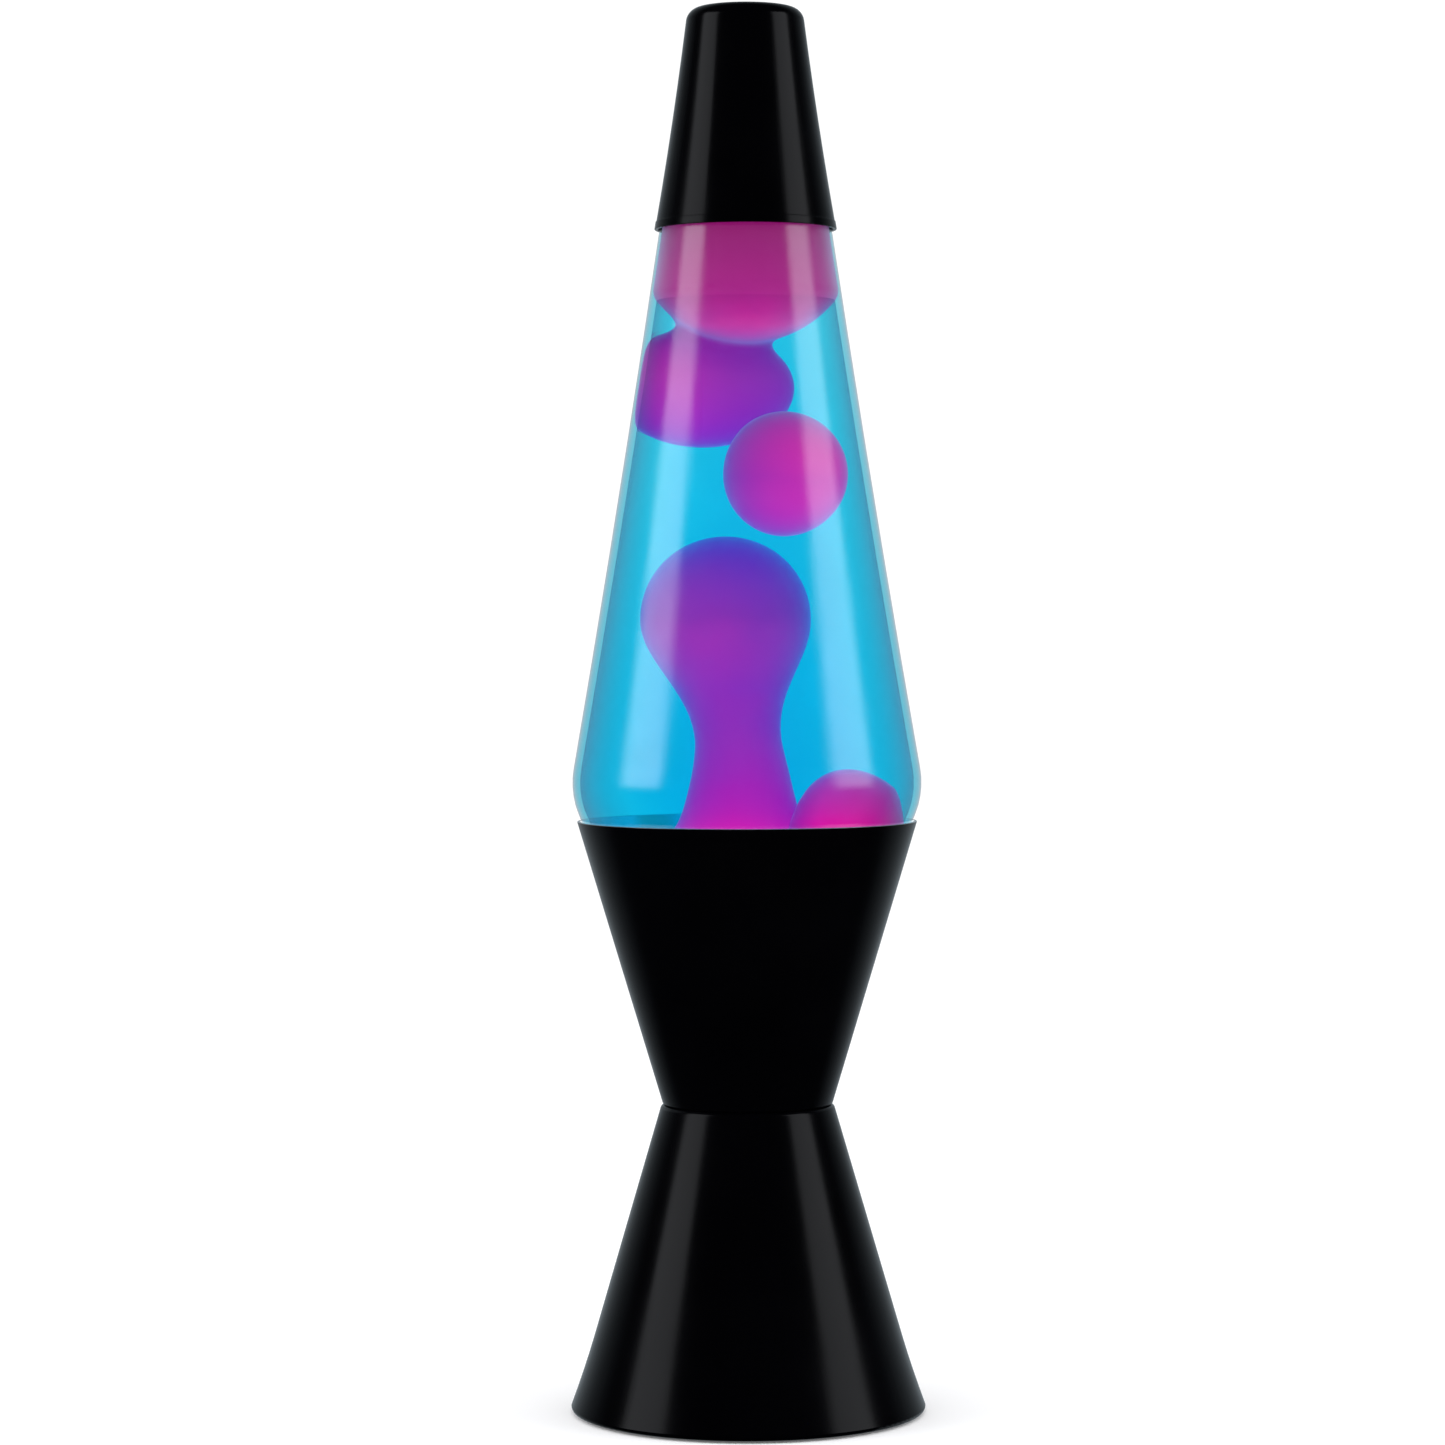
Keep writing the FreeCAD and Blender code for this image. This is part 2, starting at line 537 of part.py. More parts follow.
def make_foot():
    """Lower cone: flared bottom with a folded hem and a flange, and an inward flange at the waist."""
    flange = "hem_flange_height + sheet"
    under = "foot_height - sheet"
    body = turned("foot_cone", [
        ("waist_opening", "foot_height"),
        ("waist_opening", under),
        (foot_outside(under) + " - sheet", under),
        ("flare_radius - sheet", "flare_height"),
        ("foot_radius - hem", flange, "foot_flare", 1),
        ("hem_flange_radius", flange),
        ("hem_flange_radius", "hem_flange_height"),
        ("foot_radius - hem", "hem_flange_height"),
        ("foot_radius - hem", "foot_lift"),
        ("foot_radius - rim_round", "foot_lift"),
        ("foot_radius", "foot_lift + rim_round", "rim_round", 1),
        ("flare_radius", "flare_height", "foot_flare", -1),
        ("foot_top_radius", "foot_height"),
    ])
    round_rings(body, "foot_lip", [("foot_top_radius", "foot_height")], "lip_round")
    drilled(body, "foot_rivet_holes", "rivet_radius + fit_gap", "rivet_circle", "foot_height", "sheet",
            "rivet_count")
    drilled(body, "foot_cover_holes", "cover_screw_radius + fit_gap", "cover_screw_circle", flange, "sheet",
            "cover_screw_count")
    tilted = grommet_rod("foot_cord_cutter", "grommet_hole", "cutter_reach * 2", "-cutter_reach")
    return finish(cut("foot_shell", body, tilted), "foot")


def foot_tilt():
    """Angle of the foot's wall from upright, in degrees."""
    return "atan((flare_radius - foot_top_radius) / (foot_height - flare_height))"


def grommet_rod(name, radius, length, start):
    """A cylinder square to the foot's back wall, on the cord hole's axis, from start out from the wall."""
    rod = doc.addObject("Part::Cylinder", name)
    bind(rod, Radius=radius, Height=length)
    rod.Placement.Rotation = FreeCAD.Rotation(FreeCAD.Vector(-1, 0, 0), 90)
    bind(rod, Placement__Rotation__Angle="90deg - %s" % foot_tilt())
    wall = foot_outside("grommet_height")
    place(rod, "0", "%s + (%s) * cos(%s)" % (wall, start, foot_tilt()),
          "grommet_height + (%s) * sin(%s)" % (start, foot_tilt()))
    return rod


def make_cup():
    """Upper cone, open at the top, with a flat floor that is riveted to the foot."""
    floor_top = "foot_height + sheet"
    body = turned("cup_cone", [
        ("waist_opening", "foot_height"),
        ("cup_foot_radius", "foot_height"),
        ("cup_rim_radius", "cup_rim_height"),
        ("cup_rim_radius - sheet", "cup_rim_height"),
        (cup_outside(floor_top) + " - sheet", floor_top),
        ("waist_opening", floor_top),
    ])
    round_rings(body, "cup_corner", [("cup_foot_radius", "foot_height")], "cup_floor_round")
    rim = [("cup_rim_radius", "cup_rim_height"), ("cup_rim_radius - sheet", "cup_rim_height")]
    round_rings(body, "cup_rim", rim, "rim_soften")
    drilled(body, "cup_rivet_holes", "rivet_radius + fit_gap", "rivet_circle", floor_top, "sheet",
            "rivet_count")
    return finish(body, "cup")


def make_waist_rivets():
    """Rivets through the cup's floor, the foot's flange and the bracket's ring, all in one group."""
    under = "foot_height - sheet - strap"
    over = "foot_height + sheet"
    body = turned("waist_rivets", [
        ("0", "%s - rivet_head" % under),
        ("rivet_face", "%s - rivet_head" % under),
        ("rivet_head_radius", under),
        ("rivet_radius", under),
        ("rivet_radius", over),
        ("rivet_head_radius", over),
        ("rivet_face", "%s + rivet_head" % over),
        ("0", "%s + rivet_head" % over),
    ], "rivet_circle")
    repeated(body, "rivet_ring", "rivet_count")
    return finish(body, "waist_rivets")


def make_socket_bracket():
    """Steel strap: a ring under the waist, two legs and the cross-plate that the lampholder stands on."""
    under = "foot_height - sheet - strap"
    ring = cut("bracket_ring", cylinder("bracket_disc", "strap_ring_radius", "strap", up=under),
               cylinder("bracket_opening", "waist_opening", "strap", up=under))
    pieces = [ring]
    for side, corner in (("left", "-waist_opening - strap"), ("right", "leg_inside")):
        tab = block("bracket_tab_" + side, "waist_opening + strap - leg_inside", "strap_width", "strap",
                    corner, "-strap_width / 2", under)
        leg_corner = "-leg_inside - strap" if side == "left" else "leg_inside"
        leg = block("bracket_leg_" + side, "strap", "strap_width", under + " - seat_height + strap * 2",
                    leg_corner, "-strap_width / 2", "seat_height - strap")
        pieces += [tab, leg]
    pieces.append(block("bracket_plate", "leg_inside * 2 + strap * 2", "strap_width", "strap",
                        "-leg_inside - strap", "-strap_width / 2", "seat_height - strap"))
    holes = [cylinder("bracket_nipple_hole", "nipple_radius + fit_gap", "strap", up="seat_height - strap")]
    for number in range(int(value("rivet_count"))):
        angle = "%d * 360 / rivet_count" % number
        holes.append(cylinder("bracket_rivet_hole_%d" % number, "rivet_radius + fit_gap", "strap",
                              "rivet_circle * cos(%s)" % angle, "rivet_circle * sin(%s)" % angle, under))
    blank = fuse("bracket_blank", pieces)
    return finish(cut("bracket_strap", blank, fuse("bracket_holes", holes)), "socket_bracket")


def make_lampholder():
    """Porcelain body: a bore for the screw shell, a well for the contact and a socket for the nipple."""
    bottom = "seat_height"
    body = turned("lampholder", [
        ("nipple_radius + fit_gap", bottom),
        ("holder_radius", bottom),
        ("holder_radius", "seat_height + holder_height"),
        ("holder_bore", "seat_height + holder_height"),
        ("holder_bore", "seat_height + shell_ledge"),
        ("contact_well", "seat_height + shell_ledge"),
        ("contact_well", "seat_height + holder_floor"),
        ("nipple_bore", "seat_height + holder_floor"),
        ("nipple_bore", "seat_height + nipple_grip"),
        ("nipple_radius + fit_gap", "seat_height + nipple_grip"),
    ])
    mouth = [("holder_radius", "seat_height + holder_height")]
    round_rings(body, "holder_mouth", mouth, "holder_chamfer")
    drilled(body, "terminal_holes", "terminal_radius + fit_gap", "terminal_circle",
            "seat_height + terminal_length + fit_gap", "terminal_length + fit_gap",
            "terminal_count", "terminal_turn")
    return finish(body, "lampholder")


def make_threaded_nipple():
    """Short steel tube that holds the lampholder to the bracket and lets the leads through."""
    top = "seat_height + nipple_grip - fit_gap"
    body = turned("threaded_nipple", [
        ("nipple_bore", top + " - nipple_length"),
        ("nipple_radius", top + " - nipple_length"),
        ("nipple_radius", top),
        ("nipple_bore", top),
    ])
    return finish(body, "threaded_nipple")


def make_nipple_nut():
    """Hexagon nut under the cross-plate."""
    base = "seat_height - strap - washer - nut_height"
    hexagon = doc.addObject("Part::Prism", "nut_hexagon")
    hexagon.Polygon = 6
    bind(hexagon, Circumradius="nut_flats / sqrt(3)", Height="nut_height")
    place(hexagon, up=base)
    corners = doc.addObject("Part::Cone", "nut_corners")
    bind(corners, Radius1="nut_flats / 2 + nut_chamfer", Radius2="nut_flats / 2 + nut_chamfer + nut_height")
    bind(corners, Height="nut_height")
    place(corners, up=base)
    blank = common("nut_blank", [hexagon, corners])
    thread = cylinder("nut_thread", "nipple_radius + fit_gap", "nut_height", up=base)
    return finish(cut("nut_bored", blank, thread), "nipple_nut")


def make_lock_washer():
    """Toothed washer between the nut and the cross-plate."""
    base = "seat_height - strap - washer"
    disc = cylinder("washer_disc", "washer_radius", "washer", up=base)
    notches = [cylinder("washer_bore", "nipple_radius + fit_gap", "washer", up=base)]
    for number in range(int(value("washer_teeth"))):
        angle = "%d * 360 / washer_teeth" % number
        notches.append(cylinder("washer_notch_%d" % number, "tooth_depth", "washer",
                                "washer_radius * cos(%s)" % angle, "washer_radius * sin(%s)" % angle, base))
    return finish(cut("washer_toothed", disc, fuse("washer_notches", notches)), "lock_washer")


def wave(middle, depth, start, turns):
    """A rolled thread in section, from bottom to top: half-turn arcs that bulge out and in by turns."""
    quarter = "(thread_pitch / 4)"
    bend = "(%s * %s + %s * %s / 4) / (%s)" % (quarter, quarter, depth, depth, depth)
    steps = []
    for number in range(int(value(turns)) * 2):
        up = "%s + %d * thread_pitch / 2" % (start, number + 1)
        steps.append((middle, up, bend, 1 if number % 2 == 0 else -1))
    return steps


def reversed_wave(middle, depth, start, turns):
    """The same thread from top to bottom."""
    upward = wave(middle, depth, start, turns)
    levels = [start] + [step[1] for step in upward]
    steps = []
    for number in range(len(upward), 0, -1):
        steps.append((middle, levels[number - 1], upward[0][2], -upward[number - 1][3]))
    return steps


def thread_start():
    """Height where the screw cap's thread starts."""
    return "bulb_seat + cap_start + cap_sheet + thread_depth + thread_lead"


def make_screw_shell():
    """Brass shell rolled with the thread that the lamp screws into, opened by a loose clearance."""
    inside = "thread_radius + loose_gap + thread_depth / 2"
    outside = inside + " + shell_wall"
    foot = "seat_height + shell_ledge"
    first = thread_start()
    last = first + " + thread_turns * thread_pitch"
    body = turned("screw_shell", [
        (inside, foot),
        (outside, foot),
        (outside, first),
    ] + wave(outside, "thread_depth", first, "thread_turns") + [
        (outside, foot + " + shell_length"),
        (outside + " + shell_flare", foot + " + shell_length + 2 * shell_flare"),
        (inside + " + shell_flare", foot + " + shell_length + 2 * shell_flare"),
        (inside, foot + " + shell_length"),
        (inside, last),
    ] + reversed_wave(inside, "thread_depth", first, "thread_turns"))
    return finish(body, "screw_shell")


def make_centre_contact():
    """Brass strip on the floor of the well, pressed up in the middle to meet the lamp's tip."""
    body = doc.addObject("PartDesign::Body", "centre_contact")
    low = "seat_height + holder_floor"
    high = "bulb_seat - fit_gap"
    sketch = outline(body, "contact_side", [
        ("0", low),
        ("contact_foot", low),
        ("contact_foot + contact_slope", high + " - contact_strip"),
        ("contact_reach * 2 - contact_foot - contact_slope", high + " - contact_strip"),
        ("contact_reach * 2 - contact_foot", low),
        ("contact_reach * 2", low),
        ("contact_reach * 2", low + " + contact_strip"),
        ("contact_reach * 2 - contact_foot + contact_skew", low + " + contact_strip"),
        ("contact_reach * 2 - contact_foot - contact_slope + contact_skew", high),
        ("contact_foot + contact_slope - contact_skew", high),
        ("contact_foot - contact_skew", low + " + contact_strip"),
        ("0", low + " + contact_strip"),
    ])
    bind(sketch, **{".AttachmentOffset__Base__x": "-contact_reach"})
    strip = body.newObject("PartDesign::Pad", "contact_strip_pad")
    strip.Profile = sketch
    strip.SideType = "Symmetric"
    bind(strip, Length="contact_width")
    doc.recompute()
    return finish(body, "centre_contact")


def make_terminal_screws():
    """Two brass screws in the underside of the lampholder, either side of the cross-plate."""
    body = turned("terminal_screws", [
        ("0", "seat_height - terminal_head"),
        ("terminal_head_radius", "seat_height - terminal_head"),
        ("terminal_head_radius", "seat_height"),
        ("terminal_radius", "seat_height"),
        ("terminal_radius", "seat_height + terminal_length"),
        ("0", "seat_height + terminal_length"),
    ], "terminal_circle")
    repeated(body, "terminal_pair", "terminal_count")
    swing(body, "terminal_turn")
    return finish(body, "terminal_screws")


def make_bulb_screw_cap():
    """Thin brass cap rolled with the lamp's thread, closed in to a small hole at the bottom."""
    outside = "thread_radius - thread_depth / 2"
    inside = outside + " - cap_sheet"
    bottom = "bulb_seat + cap_start"
    top = "bulb_seat + cap_end"
    first = thread_start()
    last = first + " + thread_turns * thread_pitch"
    body = turned("bulb_screw_cap", [
        ("insulator_radius", bottom),
        (outside, first),
    ] + wave(outside, "thread_depth", first, "thread_turns") + [
        (outside, top),
        (inside, top),
        (inside, last),
    ] + reversed_wave(inside, "thread_depth", first, "thread_turns") + [
        ("insulator_radius", bottom + " + cap_sheet"),
    ])
    return finish(body, "bulb_screw_cap")


def make_bulb_insulator():
    """Black glass between the screw cap and the tip."""
    low = "bulb_seat + tip_height"
    body = turned("bulb_insulator", [
        ("tip_stalk + fit_gap", low),
        ("insulator_foot", low),
        ("insulator_radius - fit_gap", low + " + insulator_height"),
        ("tip_stalk + fit_gap", low + " + insulator_height"),
    ])
    return finish(body, "bulb_insulator")


def make_bulb_tip():
    """Solder button at the bottom of the lamp, with its stalk through the insulator."""
    low = "bulb_seat"
    body = turned("bulb_tip", [
        ("0", low),
        ("tip_face", low),
        ("tip_radius", low + " + tip_bevel"),
        ("tip_radius", low + " + tip_height"),
        ("tip_stalk", low + " + tip_height"),
        ("tip_stalk", low + " + tip_height + insulator_height"),
        ("0", low + " + tip_height + insulator_height"),
    ])
    return finish(body, "bulb_tip")


def bulb_outline(inset):
    """Corners of the lamp's glass, from the screw cap's mouth up to its crown, inset by its wall."""
    middle = "(bulb_seat + bulb_length - bulb_radius)"
    mouth = "(bulb_seat + cap_end)"
    joint = "bulb_joint"
    return middle, mouth, ("(bulb_radius - %s) * cos(%s)" % (inset, joint),
                           "%s - (bulb_radius - %s) * sin(%s)" % (middle, inset, joint))


def make_bulb_glass():
    """Round-headed clear glass, hollow, its neck inside the screw cap."""
    middle, mouth, joint_out = bulb_outline("0")
    joint_in = bulb_outline("bulb_wall")[2]
    base = mouth + " - neck_reach"
    body = turned("bulb_glass", [
        ("bulb_neck - bulb_wall", base),
        ("bulb_neck", base),
        ("bulb_neck", mouth),
        (joint_out[0], joint_out[1], "smooth"),
        ("bulb_radius", middle, "bulb_radius", 1),
        ("0", middle + " + bulb_radius", "bulb_radius", 1),
        ("0", middle + " + bulb_radius - bulb_wall"),
        ("bulb_radius - bulb_wall", middle, "bulb_radius - bulb_wall", -1),
        (joint_in[0], joint_in[1], "bulb_radius - bulb_wall", -1),
        ("bulb_neck - bulb_wall", mouth, "smooth"),
    ])
    return finish(body, "bulb_glass")


def make_bulb_stem():
    """Glass stem that carries the lead wires: a flared foot and a slim rod."""
    low = "bulb_seat + cap_end - neck_reach"
    body = turned("bulb_stem", [
        ("0", low),
        ("stem_flare", low),
        ("stem_radius", low + " + flare_length"),
        ("stem_radius", low + " + stem_length"),
        ("0", low + " + stem_length"),
    ])
    return finish(body, "bulb_stem")


def wire_run(name, start, end):
    """A straight length of lead wire between two places, each (across, up), the second further out."""
    across = "((%s) - (%s))" % (end[0], start[0])
    up = "((%s) - (%s))" % (end[1], start[1])
    run = doc.addObject("Part::Cylinder", name)
    run.Placement.Rotation = FreeCAD.Rotation(FreeCAD.Vector(0, 1, 0), 90)
    bind(run, Radius="lead_radius", Height="sqrt(%s ^ 2 + %s ^ 2)" % (across, up))
    bind(run, Placement__Rotation__Angle="atan(%s / %s)" % (across, up))
    return place(run, start[0], "0", start[1])


def make_bulb_lead_wires():
    """Two wires from the top of the stem out to the ends of the filament, with a ball at each bend."""
    low = "(bulb_seat + cap_end - neck_reach + stem_length)"
    top = "(bulb_seat + filament_height)"
    bend = ("stem_radius / 2", low + " + stem_radius")
    elbow = ("lead_elbow", "(%s + %s) / 2" % (low, top))
    rise = cylinder("wire_rise", "lead_radius", "stem_radius", "stem_radius / 2", "0", low)
    runs = [rise, wire_run("wire_splay", bend, elbow), wire_run("wire_end", elbow, ("lead_spread", top))]
    balls = [sphere("wire_bend", "lead_radius", bend[0], "0", bend[1]),
             sphere("wire_elbow", "lead_radius", elbow[0], "0", elbow[1])]
    right = fuse("wire_right", runs + balls)
    left = doc.addObject("Part::Mirroring", "wire_left")
    left.Source = right
    left.Normal = FreeCAD.Vector(1, 0, 0)
    wires = doc.addObject("Part::Compound", "wire_pair")
    wires.Links = [right, left]
    return finish(wires, "bulb_lead_wires")


def make_bulb_filament():
    """Coiled filament between the lead wires, as a rod that bows up in the middle: part of a wide ring."""
    reach = "(lead_spread - lead_radius * 2 - fit_gap)"
    ring = "((%s ^ 2 + filament_sag ^ 2) / (2 * filament_sag))" % reach
    crown = "bulb_seat + filament_height + filament_sag"
    body = doc.addObject("PartDesign::Body", "filament_bow")
    sketch = new_sketch(body, "filament_section", "YZ_Plane")
    middle = FreeCAD.Vector(0, value(crown), 0)
    sketch.addGeometry(Part.Circle(middle, FreeCAD.Vector(0, 0, 1), value("filament_radius")), False)
    hub = FreeCAD.Vector(0, value("%s - %s" % (crown, ring)), 0)
    sketch.addGeometry(Part.LineSegment(hub, hub + FreeCAD.Vector(1, 0, 0)), True)
    sketch.addConstraint(Sketcher.Constraint("Radius", 0, value("filament_radius")))
    sketch.renameConstraint(0, "rod")
    bind(sketch, Constraints__rod="filament_radius")
    pin_point(sketch, 0, 3, ("0", crown), 0)
    pin_point(sketch, 1, 1, ("0", "%s - %s" % (crown, ring)), 1)
    pin_point(sketch, 1, 2, ("1", "%s - %s" % (crown, ring)), 2)
    bow = body.newObject("PartDesign::Revolution", "filament_bend")
    bow.Profile = sketch
    bow.ReferenceAxis = (sketch, ["Axis0"])
    bow.Midplane = True
    bind(bow, Angle="2 * asin(%s / %s)" % (reach, ring))
    doc.recompute()
    return finish(body, "bulb_filament")


def make_cord_grommet():
    """Rubber grommet in the back of the foot, with a groove that the wall sits in."""
    slack = "grommet_slack / 2"
    inner = "%s - grommet_groove" % slack
    outside = grommet_rod("grommet_outer_flange", "grommet_flange", "grommet_lip", slack)
    inside = grommet_rod("grommet_inner_flange", "grommet_flange", "grommet_lip", inner + " - grommet_lip")
    waist = grommet_rod("grommet_waist", "grommet_hole - fit_gap", "grommet_groove", inner)
    bore = grommet_rod("grommet_bore_rod", "grommet_bore", "grommet_groove + grommet_lip * 2",
                       inner + " - grommet_lip")
    blank = fuse("grommet_blank", [outside, inside, waist])
    return finish(cut("grommet_bored", blank, bore), "cord_grommet")


def make_bottom_cover():
    """Round plate that closes the foot, with a ring of air slots and three screw holes."""
    base = "hem_flange_height - cover_sheet"
    plate = cylinder("cover_plate", "foot_radius - hem - loose_gap", "cover_sheet", up=base)
    holes = []
    for number in range(int(value("vent_count"))):
        angle = "%d * 360 / vent_count" % number
        slot = block("vent_%d" % number, "vent_outer - vent_inner", "vent_width", "cover_sheet",
                     "vent_inner * cos({0}) + vent_width / 2 * sin({0})".format(angle),
                     "vent_inner * sin({0}) - vent_width / 2 * cos({0})".format(angle), base)
        if number > 0:
            swing(slot, angle)
        holes.append(slot)
    for number in range(int(value("cover_screw_count"))):
        angle = "%d * 360 / cover_screw_count" % number
        holes.append(cylinder("cover_hole_%d" % number, "cover_screw_radius + fit_gap", "cover_sheet",
                              "cover_screw_circle * cos(%s)" % angle, "cover_screw_circle * sin(%s)" % angle,
                              base))
    return finish(cut("cover_cut", plate, fuse("cover_holes", holes)), "bottom_cover")


def make_cover_screws():
    """Self-tapping screws up through the cover into the foot's flange."""
    under = "hem_flange_height - cover_sheet"
    body = turned("cover_screws", [
        ("0", under + " - cover_screw_crown"),
        ("cover_screw_face", under + " - cover_screw_crown"),
        ("cover_screw_head", under + " - cover_screw_edge"),
        ("cover_screw_head", under),
        ("cover_screw_radius", under),
        ("cover_screw_radius", under + " + cover_screw_length"),
        ("0", under + " + cover_screw_length"),
    ], "cover_screw_circle")
    repeated(body, "cover_screw_ring", "cover_screw_count")
    return finish(body, "cover_screws")


def make_rubber_feet():
    """Four rubber pads under the cover, which carry the lamp."""
    top = "hem_flange_height - cover_sheet"
    body = turned("rubber_feet", [
        ("0", "0"),
        ("pad_radius - pad_round", "0"),
        ("pad_radius", "pad_round", "pad_round", 1),
        ("pad_radius", top),
        ("0", top),
    ], "pad_circle")
    repeated(body, "pad_ring", "pad_count")
    swing(body, "pad_turn")
    return finish(body, "rubber_feet")


def seat_radius(up):
    """Outside of the globe where it follows the cup's inside, at a height."""
    return "%s - sheet - loose_gap" % cup_outside(up)


def vessel(name, inset, top):
    """A solid with the globe's outline, drawn in from its outside by inset and cut off at top."""
    base = "globe_base + %s" % inset
    body = turned(name, [
        ("0", base + " + punt_rise"),
        ("punt_radius", base, "(punt_radius ^ 2 + punt_rise ^ 2) / (2 * punt_rise)", -1),
        ("%s - %s" % (seat_radius(base), inset), base),
        ("%s - %s" % (seat_radius("cup_rim_height"), inset), "cup_rim_height"),
        ("globe_radius - %s" % inset, "belly_height", belly_bend(), 1),
        ("cone_radius - %s" % inset, "cone_height", "smooth"),
        ("throat_radius - %s" % inset, "throat_height", "cone_curve", -1),
        ("turn_radius - %s * cos(turn_lean)" % inset, "turn_height - %s * sin(turn_lean)" % inset, "smooth"),
        ("neck_radius - %s" % inset, "neck_height", "smooth"),
        ("neck_radius - %s" % inset, top),
        ("0", top),
    ])
    heel = ("%s - %s" % (seat_radius(base), inset), base)
    round_rings(body, name + "_heel", [heel], "heel_round - %s" % inset)
    return body


def belly_bend():
    """Radius of the shoulder between the cup's rim and the widest ring."""
    rise = "(belly_height - cup_rim_height)"
    step = "(globe_radius - (%s))" % seat_radius("cup_rim_height")
    return "(%s ^ 2 + %s ^ 2) / (2 * %s)" % (rise, step, step)


def make_globe_glass():
    """Hollow blown glass with a beaded mouth."""
    outside = vessel("globe_outside", "0", "mouth_height")
    bead = turned("globe_bead", [
        ("neck_radius - glass", "mouth_height - bead_height"),
        ("bead_radius", "mouth_height - bead_height"),
        ("bead_radius", "mouth_height"),
        ("neck_radius - glass", "mouth_height"),
    ])
    round_rings(bead, "bead_edges", [("bead_radius", "mouth_height"),
                                     ("bead_radius", "mouth_height - bead_height")], "mouth_round")
    hollow = vessel("globe_hollow", "glass", "mouth_height")
    blank = fuse("globe_blank", [outside, bead])
    return finish(cut("globe_blown", blank, hollow), "globe_glass")


def make_crown_liner():
    """Sealing disc between the mouth and the closure."""
    body = turned("crown_liner", [
        ("0", "mouth_height"),
        ("bead_radius - mouth_round", "mouth_height"),
        ("bead_radius - mouth_round", "mouth_height + liner"),
        ("0", "mouth_height + liner"),
    ])
    return finish(body, "crown_liner")


def make_crown_closure():
    """Tinplate closure with a fluted skirt, crimped round the bead."""
    top = "mouth_height + liner + crown_sheet"
    inner_top = "mouth_height + liner"
    shoulder = "bead_radius - mouth_round"
    body = turned("crown_blank", [
        ("0", top),
        ("0", inner_top),
        (shoulder, inner_top),
        ("bead_radius + fit_gap", inner_top + " - liner"),
        ("crown_radius - crown_sheet", top + " - crown_skirt"),
        ("crown_radius", top + " - crown_skirt"),
        ("bead_radius + fit_gap + crown_bend", inner_top + " - liner"),
        (shoulder + " + crown_sheet", top),
    ])
    flutes = []
    for number in range(int(value("crown_flutes"))):
        angle = "%d * 360 / crown_flutes" % number
        reach = "(crown_radius + flute_radius - crown_sheet)"
        flutes.append(cylinder("flute_%d" % number, "flute_radius", "flute_length",
                               "%s * cos(%s)" % (reach, angle), "%s * sin(%s)" % (reach, angle),
                               top + " - crown_skirt"))
    return finish(cut("crown_fluted", body, fuse("crown_flute_cutters", flutes)), "crown_closure")


def below(name, top):
    """A wide disc from the floor up to a height, to cut what fills the globe off level."""
    return cylinder(name, "globe_radius + sheet", top)


def make_heat_coil():
    """Ring of coiled wire on the bottom of the globe, as its outer shape."""
    coil = doc.addObject("Part::Torus", "heat_coil")
    bind(coil, Radius1="coil_ring", Radius2="coil_radius")
    place(coil, up="globe_base + glass + film + coil_lift + coil_radius")
    return finish(coil, "heat_coil")


def column_solid(name, grow):
    """The wax column, fattened by grow: a waisted stem under a round head."""
    joint = ("(head_radius + {0}) * cos(head_joint)".format(grow),
             "head_height - (head_radius + {0}) * sin(head_joint)".format(grow))
    waist = "column_waist + " + grow
    foot = "column_foot + " + grow
    flank = "((column_waist_height - pool_height) ^ 2 + (column_foot - column_waist) ^ 2) " \
            "/ (2 * (column_foot - column_waist))"
    body = turned(name, [
        ("0", "pool_height - " + grow),
        (foot, "pool_height - " + grow),
        (foot, "pool_height"),
        (waist, "column_waist_height", flank, -1),
        (joint[0], joint[1], "smooth"),
        ("head_radius + " + grow, "head_height", "head_radius + " + grow, 1),
        ("0", "head_height + head_radius + " + grow, "head_radius + " + grow, 1),
    ])
    return place(body, "-column_across", "column_behind")


def make_wax_column():
    """Wax that has risen from the pool."""
    return finish(column_solid("wax_column", "film"), "wax_column")


def make_coil_room():
    """The space that the heating coil takes up, with a film round it."""
    room = doc.addObject("Part::Torus", "coil_room")
    bind(room, Radius1="coil_ring", Radius2="coil_radius + film")
    return place(room, up="globe_base + glass + film + coil_lift + coil_radius")


def make_wax_pool(space, coil_room):
    """Wax lying in the bottom of the globe, with a dome at the right, clear of the coil and the column."""
    slab = common("pool_slab", [space, below("pool_level", "pool_height - film")])
    dome = ellipsoid("pool_dome", "dome_width", "dome_width", "dome_top - pool_height + film",
                     "dome_across", "-dome_forward", "pool_height - film")
    blank = fuse("pool_blank", [slab, common("pool_dome_inside", [dome, space])])
    room = fuse("pool_room", [coil_room, column_solid("column_room", "film * 2")])
    return finish(cut("pool_shaped", blank, room), "wax_pool")


def top_wax_solid(name, grow, space):
    """The wax at the top of the globe, fattened by grow."""
    bowl = sphere(name + "_bowl", "top_bowl + " + grow, "0", "0", "top_middle")
    return common(name, [bowl, space, below(name + "_level", "top_wax_height + " + grow)])


def make_wax_top_mass(space):
    """Wax gathered under the cap, round underneath and out to the glass."""
    return finish(top_wax_solid("top_wax", "film", space), "wax_top_mass")


def make_wax_upper_blob(space):
    """Blob under the top mass, pressed against the left of the glass."""
    egg = ellipsoid("blob_egg", "blob_width", "blob_depth", "blob_rise",
                    "-blob_across", "blob_behind", "blob_height")
    inside = common("blob_inside", [egg, space])
    blob_room = top_wax_solid("blob_room", "film * 2", space)
    return finish(cut("blob_shaped", inside, blob_room), "wax_upper_blob")


def make_wax_ball():
    """The one free ball of wax."""
    ball = sphere("wax_ball", "ball_radius", "ball_across", "-ball_forward", "ball_height")
    return finish(ball, "wax_ball")


